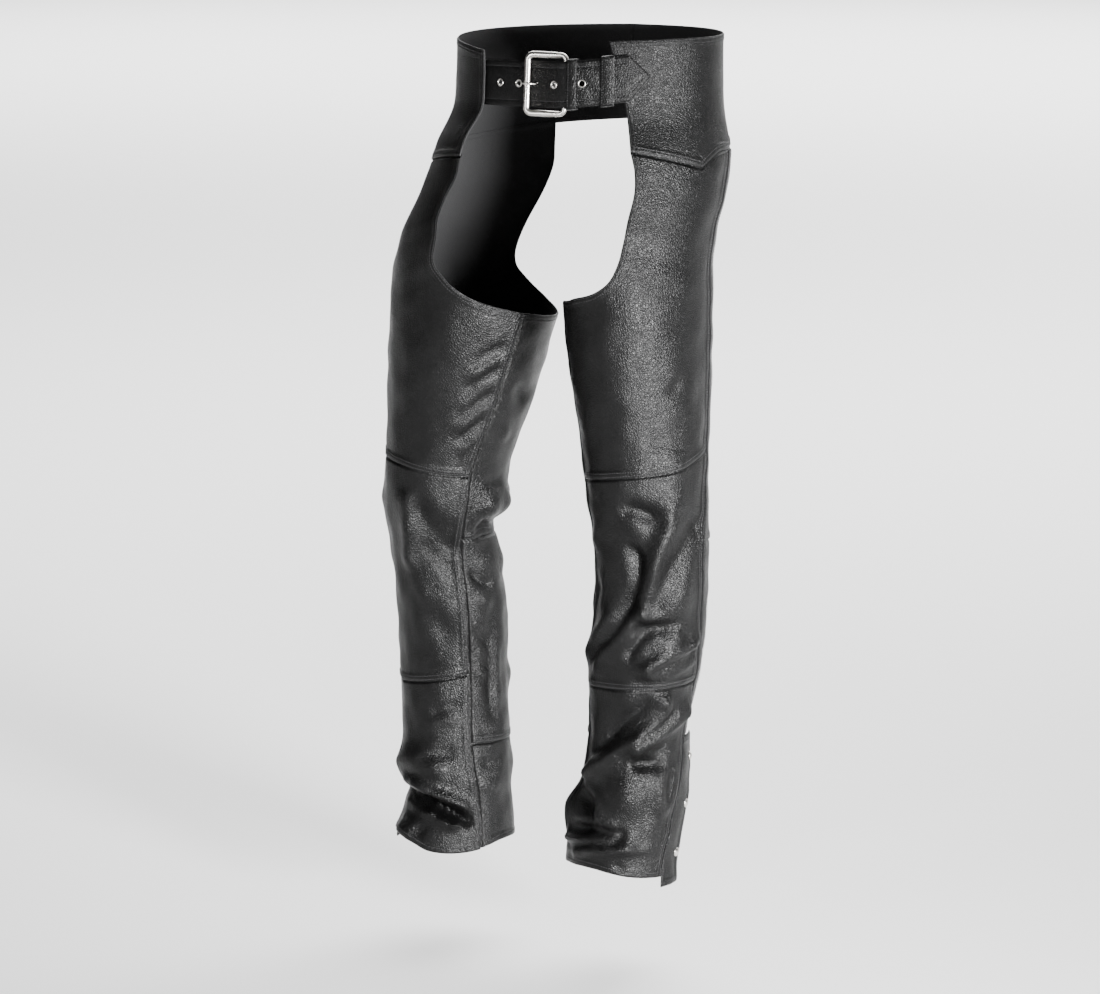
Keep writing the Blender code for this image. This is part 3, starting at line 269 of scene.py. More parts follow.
# %% Large folds
# angle and height of the start, angle and height of the end, bow, width, lean, depth
FOLDS = metres({
    "left": (
        (48, -395, 40, -476, 4, 16, 0.2, 3.5), (41, -476, 4, -590, -6, 12, 0.3, 6),
        (78, -480, 16, -585, -4, 13, 0, -5), (-8, -466, 36, -486, 10, 10, 0, -4.5),
        (-6, -500, -8, -585, 16, 12, 0, -5), (45, -540, 30, -590, 0, 22, 0, 5),
        (2, -606, 52, -600, 6, 9, 0, -6.5), (50, -606, 6, -654, 4, 10, 0, 4.5),
        (76, -618, 8, -656, 4, 9, 0, 5), (-20, -585, -72, -650, 0, 13, 0, 5),
        (-60, -660, -30, -668, 0, 20, 0, 5), (44, -682, -58, -782, -4, 11, 0.4, 7),
        (30, -690, -30, -735, 0, 16, 0, -5), (82, -697, 0, -746, -3, 12, 0, 6),
        (8, -757, 52, -757, 3, 10, 0, -6), (50, -752, 46, -822, -10, 9, 0, 5),
        (4, -780, 4, -815, 0, 24, 0, 8), (-50, -800, -30, -820, 0, 13, 0, -5),
        (-75, -800, -85, -845, 0, 20, 0, 6), (-60, -842, 8, -841, 2, 8, 0, -6),
        (-70, -856, 20, -855, 2, 9, 0, 5), (170, -455, 235, -480, 4, 13, 0, -5.5),
        (160, -490, 240, -505, 4, 13, 0, 5), (150, -530, 225, -520, -5, 12, 0, -5),
        (130, -640, 215, -600, 6, 16, 0, 4.5), (140, -690, 230, -665, 4, 13, 0, -5),
        (120, -760, 210, -735, 5, 14, 0, 5.5), (125, -800, 225, -785, 4, 12, 0, -5),
        (130, -845, 220, -830, 4, 13, 0, 4.5),
    ),
    "right": (
        (-4, -470, -8, -560, -3, 10, 0.2, 4), (-12, -480, -62, -546, 4, 13, 0, -4.5),
        (-80, -478, -125, -490, 3, 16, 0, 6), (-84, -516, -150, -520, 0, 11, 0, -7.5),
        (-85, -552, -140, -560, 0, 18, 0, 4.5), (-100, -610, -103, -745, 2, 12, 0, -4),
        (-20, -610, -55, -640, 0, 16, 0, -3), (30, -800, -45, -795, -8, 14, 0, 6),
        (25, -829, -74, -858, -4, 8, -0.3, -8.5), (12, -812, -70, -844, -4, 8, 0, 4.5),
        (-25, -842, -66, -860, 8, 6, 0, 4), (60, -826, 20, -832, 0, 10, 0, -6),
        (15, -868, -20, -876, 0, 12, 0, 5), (100, -800, 60, -795, 4, 14, 0, 5),
        (190, -500, 250, -490, 4, 14, 0, 4.5), (150, -530, 210, -520, 4, 13, 0, -5.5),
        (140, -570, 215, -560, 4, 14, 0, 4), (100, -660, 190, -630, 6, 16, 0, -4),
        (110, -720, 215, -700, 6, 16, 0, 4.5), (105, -780, 200, -765, 4, 13, 0, -5),
        (110, -840, 215, -825, 4, 13, 0, -5),
    ),
}, (1, MM, 1, MM, MM, MM, 1, MM))

print("large folds:", {side: len(rows) for side, rows in FOLDS.items()})

# %% [markdown]
# Small creases make the difference between rubber and leather. They gather at the knee, at the
# inseam and above the hem, and they are never quite alike, so each is given as a width,
# a depth and the places that it passes through.

# %% Small creases
# width, depth, then the angle and height of each place
CREASES = {
    "left": (
        (10, 2.4, (42, -446), (38, -473), (28, -502), (16, -536), (7, -564), (6, -579)),
        (6, 2.6, (6, -572), (12, -589), (26, -591), (42, -595), (51, -610)),
        (9, -3.4, (-5, -503), (7, -525), (5, -548), (-4, -571), (-19, -600), (-40, -632)),
        (7, 2.6, (2, -585), (-14, -609), (-33, -633), (-41, -650), (-29, -660)),
        (6, -3.6, (-7, -642), (2, -622), (18, -607), (41, -606)),
        (12, 1.4, (63, -514), (53, -543), (51, -570), (54, -598)),
        (5, 2.6, (8, -650), (24, -637), (44, -628), (71, -622)),
        (4.5, -2.8, (16, -653), (34, -645), (53, -638), (76, -634)),
        (5, 1.8, (15, -661), (36, -659), (59, -651), (80, -645)),
        (7, -2.2, (2, -468), (16, -471), (30, -478)),
        (6, 3, (17, -684), (38, -685), (42, -692), (33, -709), (9, -730), (-20, -754), (-57, -785)),
        (9, -4, (26, -693), (8, -712), (-19, -737), (-43, -760)),
        (6, 2.8, (80, -701), (62, -717), (33, -731), (4, -748)),
        (6, -2.6, (57, -698), (36, -716), (12, -732)),
        (5, 2.4, (2, -746), (26, -750), (54, -755)), (6, -3.2, (1, -758), (22, -762), (52, -765)),
        (7, 1.8, (58, -756), (62, -787), (56, -811), (43, -828)),
        (6, 2.6, (-53, -787), (-29, -801), (-23, -820), (-8, -831), (6, -840)),
        (7, -3.4, (-64, -800), (-40, -814), (-35, -833), (-56, -846)),
        (5, 2.2, (-66, -853), (-23, -843), (8, -844)),
        (4.5, -3.4, (-72, -864), (-26, -853), (6, -851)),
        (5, 2, (-57, -872), (-22, -861), (10, -858), (48, -859)),
        (5, -1.6, (-1, -871), (4, -877), (17, -881)), (11, -1.6, (48, -324), (60, -336)),
        (10, -1.6, (18, -394), (34, -390), (48, -396)), (16, 1.2, (-20, -330), (-35, -390)),
        (8, -2, (-30, -610), (-60, -640)), (9, 1.8, (-38, -478), (-60, -520)),
        (10, -2, (-45, -545), (-62, -590)), (9, -2.2, (120, -430), (145, -444), (165, -446)),
        (7, 2, (150, -470), (200, -466)), (8, -2.6, (160, -500), (200, -512), (240, -505)),
        (10, 2.4, (170, -545), (210, -560), (250, -556)),
        (9, -2.2, (120, -590), (145, -606), (170, -610)),
        (8, 2.2, (150, -705), (180, -714), (210, -712)),
        (7, 2, (140, -780), (165, -792), (190, -790)),
        (6, -2.4, (150, -800), (190, -806), (230, -802)),
        (7, 2.2, (160, -816), (195, -822), (230, -818)),
    ),
    "right": (
        (10, 1.6, (-7, -494), (-6, -523), (-9, -556), (-18, -586), (-32, -609)),
        (11, -2.8, (-19, -518), (-35, -542), (-52, -562), (-64, -573)),
        (9, -1.6, (-40, -497), (-53, -514), (-64, -523)),
        (9, 2.2, (-77, -473), (-88, -492), (-107, -505)),
        (6, -3.2, (-73, -519), (-87, -519), (-112, -519)),
        (6, -2.6, (-74, -560), (-84, -577), (-92, -582), (-105, -584)),
        (6, 2.2, (-74, -603), (-84, -600), (-100, -611)),
        (6, -2, (-76, -627), (-84, -643), (-101, -658)),
        (6, 1.8, (-76, -680), (-90, -690), (-104, -688)),
        (8, 2.2, (-108, -650), (-109, -700), (-108, -745)),
        (7, -1.8, (-26, -737), (-44, -726), (-66, -723)),
        (7, 1.8, (-20, -751), (-44, -741), (-66, -736)),
        (8, -2.4, (-9, -797), (-34, -782), (-62, -775)),
        (6, 3, (-2, -809), (-26, -820), (-47, -831), (-64, -843), (-76, -859)),
        (5, -3.6, (4, -826), (-19, -837), (-40, -842), (-62, -853), (-72, -868)),
        (4.5, 2.6, (-13, -848), (-26, -849), (-36, -844)),
        (5, 2.6, (-37, -846), (-44, -855), (-62, -866)),
        (6, -2.6, (-6, -867), (-20, -871), (-26, -860)),
        (7, 1.8, (-80, -809), (-92, -819), (-110, -822)),
        (7, -1.8, (-80, -786), (-95, -795), (-112, -790)),
        (6, -1.6, (-62, -292), (-50, -305), (-38, -322)),
        (6, 1.4, (-63, -305), (-50, -320), (-37, -338)),
        (6, -1.8, (-63, -318), (-50, -334), (-36, -354)),
        (6, 1.4, (-63, -332), (-50, -350), (-34, -372)),
        (7, -1.8, (-62, -345), (-50, -364), (-34, -388)),
        (7, 1.4, (-62, -360), (-50, -380), (-38, -402)),
        (6, -1.8, (-62, -376), (-52, -392), (-42, -414)), (6, 1.4, (-62, -396), (-44, -428)),
        (9, -2.6, (-76, -345), (-88, -356), (-104, -378)), (8, 2.2, (-76, -392), (-98, -416)),
        (8, -2.4, (-78, -452), (-92, -462), (-108, -462)), (12, 1.8, (40, -470), (70, -500)),
        (10, -1.6, (30, -560), (55, -600)), (8, -2, (14, -778), (30, -786)),
        (9, -2.2, (110, -440), (135, -452), (160, -455)),
        (8, 2, (150, -480), (190, -484), (230, -475)),
        (9, -2.4, (160, -600), (195, -612), (230, -610)),
        (9, 2.2, (130, -690), (165, -688), (200, -680)),
        (8, -2.2, (120, -745), (160, -746), (200, -738)),
        (8, 2, (130, -810), (170, -810), (210, -800)),
    ),
}
CREASES = {
    side: [(width / MM, depth / MM, *metres(places, (1, MM))) for width, depth, *places in rows]
    for side, rows in CREASES.items()
}
FOLD_DEPTH, CREASE_DEPTH = 1.3, 1.5
print("small creases:", {side: len(rows) for side, rows in CREASES.items()})

# %% [markdown]
# A fold is a bell-shaped ridge along its path. Beside the folds we add a broad unevenness of a
# few tenths of a millimetre, which is what breaks a highlight on real leather into soft patches.

# %% The finished face of the leather
def fold_height(folds, angle, height):
    """How far the folds lift the leather. Each is a bowed path with a bell-shaped section that
    fades out past both ends of the path."""
    lift = np.zeros(np.broadcast(angle, height).shape)
    for angle_1, height_1, angle_2, height_2, bow, width, lean, depth in folds:
        middle = (angle_1 + angle_2) / 2
        turned = (angle - middle + 180) % 360 - 180 + middle
        run = math.radians(angle_2 - angle_1) * FOLD_RADIUS
        rise = height_2 - height_1
        length = math.hypot(run, rise)
        x = np.radians(turned - angle_1) * FOLD_RADIUS
        y = height - height_1
        along = (x * run + y * rise) / length**2
        share = np.clip(along, 0, 1)
        across = (y * run - x * rise) / length - 4 * bow * share * (1 - share)
        flank = width * (1 + lean * np.sign(across))
        margin = 0.8 * width / length
        fade = eased(-margin, 1.6 * margin, along) * eased(-margin, 1.6 * margin, 1 - along)
        lift += FOLD_DEPTH * depth * bell(across, flank) * fade
    return lift


def spaced(points, count=260):
    """Points at even steps of length along a smooth curve through the given (angle, height)."""
    points = np.array(points, float)
    reach = reach_along(points * (FOLD_PER_DEGREE, 1))
    at = np.linspace(0, reach[-1], count + 1)
    return np.stack([through(at, reach, points[:, i]) for i in range(2)], -1)


def away_from(points, line):
    """Distance from each point to a run of points, and how far along the run it is nearest."""
    flat = points.reshape(-1, points.shape[-1])
    nearest = ((line**2).sum(1) - 2 * flat @ line.T).argmin(1)
    reach = reach_along(line)
    best, at = np.full(len(flat), np.inf), np.zeros(len(flat))
    for shift in (-1, 0):
        i = np.clip(nearest + shift, 0, len(line) - 2)
        step = line[i + 1] - line[i]
        f = np.clip(((flat - line[i]) * step).sum(1) / ((step**2).sum(1) + 1e-15), 0, 1)
        gap = np.linalg.norm(flat - line[i] - f[:, None] * step, axis=1)
        at = np.where(gap < best, reach[i] + f * np.sqrt((step**2).sum(1)), at)
        best = np.minimum(best, gap)
    return best.reshape(points.shape[:-1]), at.reshape(points.shape[:-1])


def crease_height(creases, angle, height):
    """How far the creases lift the leather: a bell-shaped section round a smooth line through the
    given places, fading toward both of its ends."""
    lift = np.zeros(np.broadcast(angle, height).shape)
    for width, depth, *places in creases:
        places = np.array(places, float)
        middle = places[:, 0].mean()
        turned = (angle - middle + 180) % 360 - 180 + middle
        line = spaced(places, 28) * (FOLD_PER_DEGREE, 1)
        x, y = np.radians(turned) * FOLD_RADIUS, height
        low, high = line.min(0) - 3 * width, line.max(0) + 3 * width
        near = (x > low[0]) & (x < high[0]) & (y > low[1]) & (y < high[1])
        if not near.any():
            continue
        distance, run = away_from(np.stack([x[near], y[near]], -1), line)
        length = reach_along(line)[-1]
        margin = min(0.5, 2.2 * width / length)
        fade = eased(0, margin, run / length) * eased(0, margin, 1 - run / length)
        lift[near] += CREASE_DEPTH * depth * bell(distance, width) * fade
    return lift


# length, direction and start of each wave
WAVES = (
    (0.062, 20, 0.4), (0.047, 75, 1.9), (0.036, -40, 3.1), (0.029, 55, 5.0), (0.023, -10, 0.9)
)
SWELL, FLATTER = 0.0065, 0.75


def swell(angle, height):
    """Broad unevenness: a sum of five slow sine waves that run in different directions, much
    weaker above the hip, where the leather lies flat under the belt."""
    x, y = np.radians(angle) * FOLD_RADIUS, np.asarray(height, float)
    total = np.zeros(np.broadcast(x, y).shape)
    for length, turn, start in WAVES:
        run = x * math.cos(math.radians(turn)) + y * math.sin(math.radians(turn))
        total += SWELL * length * np.sin(2 * math.pi * run / length + start)
    return total * (1 - FLATTER * eased(-0.12, -0.05, y))


def leather(side, angle, height, lift=0.0):
    """The bare surface, moved out along its normal by folds, creases, swell and lift."""
    angle, height = np.broadcast_arrays(np.asarray(angle, float), np.asarray(height, float))
    out = fold_height(FOLDS[side], angle, height) + crease_height(CREASES[side], angle, height)
    out = out + swell(angle, height) + lift
    return bare_surface(side, angle, height) + outward_of(side, angle, height) * out[..., None]


print("left knee point:", leather("left", 0.0, -0.45).round(4))

# %% [markdown]
# A panel is a patch of that surface between four lines. The grid inside them is a blend of the
# lines, and it gets extra rows close to its borders, because turned edges and stitch rows are
# only a millimetre or two wide.

# %% Lines and grids
MARKS = np.array([0, 0.45, 1.0, 1.6, 2.2, 3.1, 4.2, 5.0, 5.6, 6.2, 7.0, 8.2]) / 1000
STEP = 0.0034


def seam_line(rows, side, start, end, count=200):
    angles = np.linspace(start, end, count + 1)
    return np.stack([angles, line_height(rows, side, angles)], -1)


def long_line(rows, start, end, turn=0, count=200):
    heights = np.linspace(start, end, count + 1)
    return np.stack([columns_at(rows, heights)[0] + turn, heights], -1)


def meeting(rows, seam, side, guess):
    """Angle and height where a long line meets a seam, by repeated reading."""
    angle = guess
    for _ in range(20):
        height = float(line_height(seam, side, np.array(angle, float)))
        angle = float(columns_at(rows, np.array(height))[0]) + (360 if guess > 180 else 0)
    return angle, height


def along(points, f):
    """The place at fraction f of a line."""
    at = np.linspace(0, 1, len(points))
    return np.stack([np.interp(f, at, points[:, i]) for i in range(2)], -1)


def patch(lines, s, t):
    """(1-t) top(s) + t bottom(s) + (1-s) left(t) + s right(t), less the mix of the four corners."""
    top, bottom, left, right = lines
    u, v = s[..., None], t[..., None]
    upper, lower = ((1 - u) * line[0] + u * line[-1] for line in (top, bottom))
    across = (1 - v) * (along(top, s) - upper) + v * (along(bottom, s) - lower)
    return across + (1 - u) * along(left, t) + u * along(right, t)


def fractions(length, count):
    """Fractions along rows of the given lengths: close marks at both ends, even steps between."""
    marks = MARKS / np.maximum(np.asarray(length, float), 0.022)[..., None]
    last = marks[..., -1:]
    middle = last + (1 - 2 * last) * np.linspace(0, 1, count + 1)
    return np.concatenate([marks[..., :-1], middle, (1 - marks[..., :-1])[..., ::-1]], -1)


def panel_grid(side, lines):
    """A patch's grid with close rows at its four borders, wherever each row is long or short."""
    even = np.linspace(0, 1, 25)
    points = bare_surface(side, *apart(patch(lines, *np.meshgrid(even, even))))
    wide = np.linalg.norm(np.diff(points, axis=1), axis=2).sum(1)
    long = np.linalg.norm(np.diff(points, axis=0), axis=2).sum(0)
    columns, rows = (max(4, round((v.mean() - 2 * MARKS[-1]) / STEP)) for v in (wide, long))
    s = fractions(np.interp(fractions(long.mean(), rows), even, wide), columns)
    t = fractions(np.interp(fractions(wide.mean(), columns), even, long), rows).T
    return patch(lines, s, t)


def inset(side, line, distance, centre):
    """Moves a line sideways along the leather by a distance, towards a centre. The sideways step is
    the cross product of normal and tangent, written back as a change of angle and height."""
    angle, height = line[:, 0], line[:, 1]
    per_degree, per_metre = steps_of(side, angle, height)
    step = np.gradient(line, axis=0)
    tangent = per_degree * step[:, :1] + per_metre * step[:, 1:]
    inward = np.cross(outward_of(side, angle, height), tangent)
    inward /= np.linalg.norm(inward, axis=1, keepdims=True) + 1e-12
    here, middle = bare_surface(side, angle, height), bare_surface(side, *centre)
    inward *= np.sign(((middle - here) * inward).sum())
    dd, mm, dm = (per_degree**2).sum(1), (per_metre**2).sum(1), (per_degree * per_metre).sum(1)
    d, m = (inward * per_degree).sum(1), (inward * per_metre).sum(1)
    solved = np.stack([d * mm - m * dm, m * dd - d * dm], -1) / (dd * mm - dm**2)[:, None]
    return line + solved * distance


print("marks beside a border, in mm:", (MARKS * 1000).tolist())

# %% [markdown]
# Where two panels meet, one is folded under and sewn down over the other with two rows of
# stitches. That leaves a raised band with a rounded edge, a groove under each row and a slight
# pucker along the seam. A free edge is turned in and sewn the same way. The other panel dips and
# reaches 3 mm beneath the first, so that no light shows through the seam.

# %% Relief of seams and turned edges
SHELL, HIDDEN_REACH, INSEAM_TURN, BACK_TURN = 0.0016, 0.0030, 2.4, 1.1
DIP, DIP_FROM, DIP_TO = 0.0019, 0.0009, 0.0042
EDGE_DROP, EDGE_ROUND, BAND_END = 0.0009, 0.0014, 0.0015
GROOVE, GROOVE_WIDTH = 0.00045, 0.0006
PUCKER, PUCKER_REACH = 0.00016, 0.008
INNER_DIP, INNER_EDGE = 0.0009, 0.0004
# kind: rise, width of the raised band, distances of the stitch rows, strength of the painted edge
# highlight
EDGES = {
    "over": (0.0009, 0.0068, (0.0016, 0.0056), 0.2),
    "hem": (0.0006, 0.0070, (0.0016, 0.0056), 0.2),
    "bound": (0.0006, 0.0070, (0.0016, 0.0056), 1.0),
    "cuff": (0.0006, 0.0068, (0.0056,), 0.2),
    "strip": (0.0, 0.0, (0.0016,), 0.2),
    "under": (0.0, 0.0, (), 0.0),
    "bare": (0.0, 0.0, (), 0.2),
}


def relief(edges):
    """Lift of the outer and the inner face from (kind, distance, run) for each border: a raised
    band that ends in a round edge, a groove under each stitch row, a dip where the panel passes
    under another, and puckers."""
    shape = edges[0][1].shape
    band, edge, dip, groove, pucker = (np.zeros(shape) for _ in range(5))
    for kind, distance, run in edges:
        rise, wide, rows, _ = EDGES[kind]
        if kind == "under":
            shown = eased(HIDDEN_REACH + DIP_FROM, HIDDEN_REACH + DIP_TO, distance)
            dip = np.maximum(dip, 1 - shown)
        else:
            edge = np.minimum(edge, -EDGE_DROP * (1 - eased(0, EDGE_ROUND, distance)))
            band = np.maximum(band, rise * (1 - eased(wide, wide + BAND_END, distance)))
        for row in rows:
            groove = np.minimum(groove, -GROOVE * bell(distance - row, GROOVE_WIDTH))
        turns = 2 * math.pi * run
        wave = np.sin(turns / 0.0083 + 1.9 * np.sin(turns / 0.037))
        wave = wave * (0.6 + 0.4 * np.sin(turns / 0.061))
        pucker += PUCKER * wave * bell(distance, PUCKER_REACH) * (kind != "bare")
    thin = np.minimum.reduce([distance for _, distance, _ in edges])
    inner = INNER_EDGE * (1 - eased(0, EDGE_ROUND, thin)) * (1 - dip) - SHELL - INNER_DIP * dip
    return (band + edge + groove) * (1 - dip) - DIP * dip + pucker, inner + pucker


print("a hem's band 3 mm in:", relief([("hem", np.array([0.003]), np.array([0.0]))])[0].round(5))

# %% [markdown]
# The shell has an outer face, an inner face and a rim that joins them, so it is one closed
# skin. Three numbers are kept with each point for the material: how near it is to an edge, where
# the colour is lightened as a painted highlight, whether it is on the inner face, which is matt,
# and how much the leather is bent there, because bent leather shows fine wrinkles.

# %% Shells
PIECES, METAL, THREADS, FLAT = [], [], {}, {}
SHELL_SHARP = math.radians(60)


def placed(name, data):
    """A new object with the given data, in the scene."""
    obj = bpy.data.objects.new(name, data)
    bpy.context.scene.collection.objects.link(obj)
    return obj


def keep(obj, node, pieces):
    """Puts a finished piece in the place of its CAD node, and on a list for its material."""
    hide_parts(node)
    pieces.append(obj)
    return obj


def shell(name, outer, inner, rim, bent=0.0):
    """A closed wall between two grids of points: both faces, and quads round the border."""
    rows, columns = outer.shape[:2]
    count = rows * columns
    index = np.arange(count).reshape(rows, columns)
    corners = [index[:-1, :-1], index[1:, :-1], index[1:, 1:], index[:-1, 1:]]
    front = np.stack(corners, -1).reshape(-1, 4)
    border = np.concatenate([index[0, :-1], index[:-1, -1], index[-1, :0:-1], index[:, 0][::-1]])
    low = border + count
    sides = np.stack([border[:-1], border[1:], low[1:], low[:-1]], -1)
    faces = np.concatenate([front, front[:, ::-1] + count, sides])
    across = np.cross(outer[1, 0] - outer[0, 0], outer[0, 1] - outer[0, 0])
    if across @ (outer[0, 0] - inner[0, 0]) < 0:
        faces = faces[:, ::-1]
    mesh = bpy.data.meshes.new(name)
    points = np.concatenate([outer.reshape(-1, 3), inner.reshape(-1, 3)])
    mesh.from_pydata(points, [], faces.tolist())
    mesh.shade_smooth()
    mesh.set_sharp_from_angle(angle=SHELL_SHARP)
    # The first number is the mask of the painted highlight along the edges.
    for key, *faces_values in (("worn", rim, rim), ("inside", 0, 1), ("bent", bent, 0)):
        both = [np.broadcast_to(value, (rows, columns)).ravel() for value in faces_values]
        values = mesh.attributes.new(key, "FLOAT", "POINT")
        values.data.foreach_set("value", np.concatenate(both).astype(np.float32))
    return placed(name, mesh)


def lay_stitches(group, points, beside, outward, ends=0.003, pitch=0.0031):
    """Stitches at even steps along a run of points; beside and outward give the leather's tilt."""
    reach = reach_along(points)
    at = np.arange(ends, reach[-1] - ends, pitch)
    read = lambda values, x: np.stack([np.interp(x, reach, values[:, i]) for i in range(3)], -1)
    ahead = unit(read(points, at + 0.0004) - read(points, at - 0.0004))
    up = np.cross(ahead, read(beside - points, at))
    up *= np.sign((up * read(outward, at)).sum(1, keepdims=True))
    THREADS.setdefault(group, []).append((read(points, at), ahead, unit(up)))


def sew(side, line, kind, centre, lift):
    """Adds a border's stitch rows: places every 3 mm on lines inset from the border."""
    rise, _, rows, _ = EDGES[kind]
    for row in rows:
        height = lift + rise - STITCH_SUNK
        insets = (inset(side, line, row + shift, centre) for shift in (0.0, 0.0006))
        points, beside = (leather(side, *places.T, height) for places in insets)
        lay_stitches(f"{side}_leg", points, beside, outward_of(side, *line.T))


STITCH_SUNK = 0.00025
print("shell thickness:", SHELL)

# %% [markdown]
# ## The panels
# Each leg has a hip yoke, a thigh front and back, a shin front, a cuff, and a middle and lower
# back. Every panel is listed with the four lines round it and with what each border is: sewn
# over its neighbour, passing under it, or turned in as a hem.

# %% Lines round each panel
SIDE_TOP = 96.0
# seam, and the two long lines that it runs between, each with a guess of the angle
SEAMS = {
    "knee": (KNEE_SEAM, (INSEAM, -67), (SIDE_LINE, 92)),
    "shin": (SHIN_SEAM, (INSEAM, -72), (SIDE_LINE, 83)),
    "hem": (HEM, (INSEAM, -83), (SIDE_LINE, 53)),
    "bend": (KNEE_BACK_SEAM, (SIDE_LINE, 82), (INSEAM, 293)),
    "calf": (CALF_SEAM, (SIDE_LINE, 80), (INSEAM, 288)),
    "heel": (HEM, (SIDE_LINE, 53), (INSEAM, 277)),
}


def joined(first, second, weight=1.0):
    """Two lines end to end, spaced evenly again; a low weight counts their steep parts for less."""
    points = np.concatenate([first, second[1:]])
    reach = reach_along(points * (FOLD_PER_DEGREE, weight))
    at = np.linspace(0, reach[-1], 501)
    return np.stack([np.interp(at, reach, points[:, i]) for i in range(2)], -1)


def tucked(top, left, right):
    """The top line raised by the hidden reach, and both side lines begun that much higher."""
    high = top + (0, HIDDEN_REACH)
    ends = ((high[0], left), (high[-1], right))
    return high, *(joined(np.stack([end, line[0]]), line) for end, line in ends)


def onward(line):
    """A line carried on a little past the inseam, under the front panel."""
    return joined(line, np.stack([line[-1], line[-1] + (INSEAM_TURN, 0)]))


def leg_panels(side):
    """For each panel, its top, bottom, left and right line and its borders as (kind, line)."""
    seams = {}
    for name, (seam, *crossed) in SEAMS.items():
        start, end = (meeting(line, seam, side, guess)[0] for line, guess in crossed)
        seams[name] = seam_line(seam, side, start, end)
    front, back, low = FRONT_EDGE[side], BACK_EDGE[side], YOKE_SEAM_FRONT[-1][0]
    edge, seat = spaced(front), spaced(back)
    before = seam_line(YOKE_SEAM_FRONT, side, front[0][0], low)
    yoke_front = np.concatenate([before, seam_line(YOKE_SEAM_BACK, side, low, SIDE_TOP)[1:]])
    yoke_back = seam_line(YOKE_SEAM_BACK, side, SIDE_TOP, back[0][0])
    panels = {}

    knee, bend = seams["knee"], seams["bend"]
    inseam = long_line(INSEAM, front[-1][1], knee[0, 1])
    outer = long_line(SIDE_LINE, yoke_front[-1, 1], knee[-1, 1])
    high, left, right = tucked(yoke_front, joined(edge, inseam), outer)
    panels["thigh_front"] = (
        (high, knee, left, right),
        (("under", high), ("over", knee), ("hem", edge), ("over", inseam), ("hem", outer)),
    )
    for name, a, b, last in (
        ("shin_front", knee, seams["shin"], "over"),
        ("cuff_front", seams["shin"], seams["hem"], "cuff"),
    ):
        left, right = long_line(INSEAM, a[0, 1], b[0, 1]), long_line(SIDE_LINE, a[-1, 1], b[-1, 1])
        high, high_left, high_right = tucked(a, left, right)
        panels[name] = (
            (high, b, high_left, high_right),
            (("under", high), (last, b), ("over", left), ("hem", right)),
        )

    left = long_line(SIDE_LINE, yoke_back[0, 1], bend[0, 1])
    right = long_line(INSEAM, back[-1][1], bend[-1, 1], 360 + INSEAM_TURN)
    high, high_left, _ = tucked(yoke_back, left, seat)
    above = np.concatenate([high, seat[1:]])
    wide = joined(above, np.stack([seat[-1], right[0]]), weight=0.4)
    panels["thigh_back"] = (
        (wide, onward(bend), high_left, right),
        (("under", high), ("over", bend), ("hem", seat), ("bare", left), ("under", right)),
    )
    for name, a, b, last in (
        ("back_middle", bend, seams["calf"], "over"),
        ("back_lower", seams["calf"], seams["heel"], "cuff"),
    ):
        left = long_line(SIDE_LINE, a[0, 1], b[0, 1])
        right = long_line(INSEAM, a[-1, 1], b[-1, 1], 360 + INSEAM_TURN)
        high, high_left, high_right = tucked(onward(a), left, right)
        panels[name] = (
            (high, onward(b), high_left, high_right),
            (("under", high), (last, b), ("bare", left), ("under", high_right)),
        )

    end, closing, bound = 180, "over", "hem"
    if side == "right":
        end, closing, bound = 180 + BACK_TURN, "under", "bound"
    opening = spaced(YOKE_FRONT_EDGE[side])
    top = seam_line(WAIST_TOP, side, YOKE_FRONT_EDGE[side][0][0], end)
    top[0] = YOKE_FRONT_EDGE[side][0]
    sewn_down = joined(yoke_front, yoke_back)
    free = seam_line(YOKE_SEAM_BACK, side, back[0][0], end)
    bottom = joined(sewn_down, free)
    bottom[0] = opening[-1]
    middle = np.stack([np.full(121, float(end)), np.linspace(top[-1, 1], bottom[-1, 1], 121)], -1)
    panels["yoke"] = (
        (top, bottom, opening, middle),
        (("hem", top), ("over", sewn_down), ("hem", free), (bound, opening), (closing, middle)),
    )
    return panels


print("panels of a leg:", list(leg_panels("left")))

# %% Build the panels
# The first reach is how far the painted edge highlight runs in from a border.
EDGE_HIGHLIGHT_REACH, FULL_FOLD, FULL_CREASE = 0.0012, 0.0050, 0.0025


def edges_of(side, grid, borders):
    """Each border's kind, each grid point's distance from it, and its place along it."""
    bare = bare_surface(side, *apart(grid))
    return [(kind, *away_from(bare, bare_surface(side, *line.T))) for kind, line, _ in borders]


def sewn(side, name, grid, lifts, rim, bent, borders):
    """A shell over a grid of places, with its stitch rows and its flat size."""
    outer, inner = (leather(side, *apart(grid), lift) for lift in lifts)
    obj = shell(f"{name}_{side}_leather", outer, inner, rim, bent)
    centre = grid[grid.shape[0] // 2, grid.shape[1] // 2]
    for kind, line, lift in borders:
        sew(side, line, kind, centre, lift)
    right, down = np.diff(outer, axis=1), np.diff(outer, axis=0)
    wide = np.linalg.norm(right, axis=2).sum(1).max()
    long = np.linalg.norm(down, axis=2).sum(0).max()
    area = np.linalg.norm(np.cross(right[:-1], down[:, :-1]), axis=2).sum()
    FLAT[obj.name] = (wide, long, min(area, wide * long))
    keep(obj, f"{name}_{side}", PIECES)
    print(obj.name, grid.shape[:2], "flat %.3f x %.3f m, %.4f m2" % FLAT[obj.name])


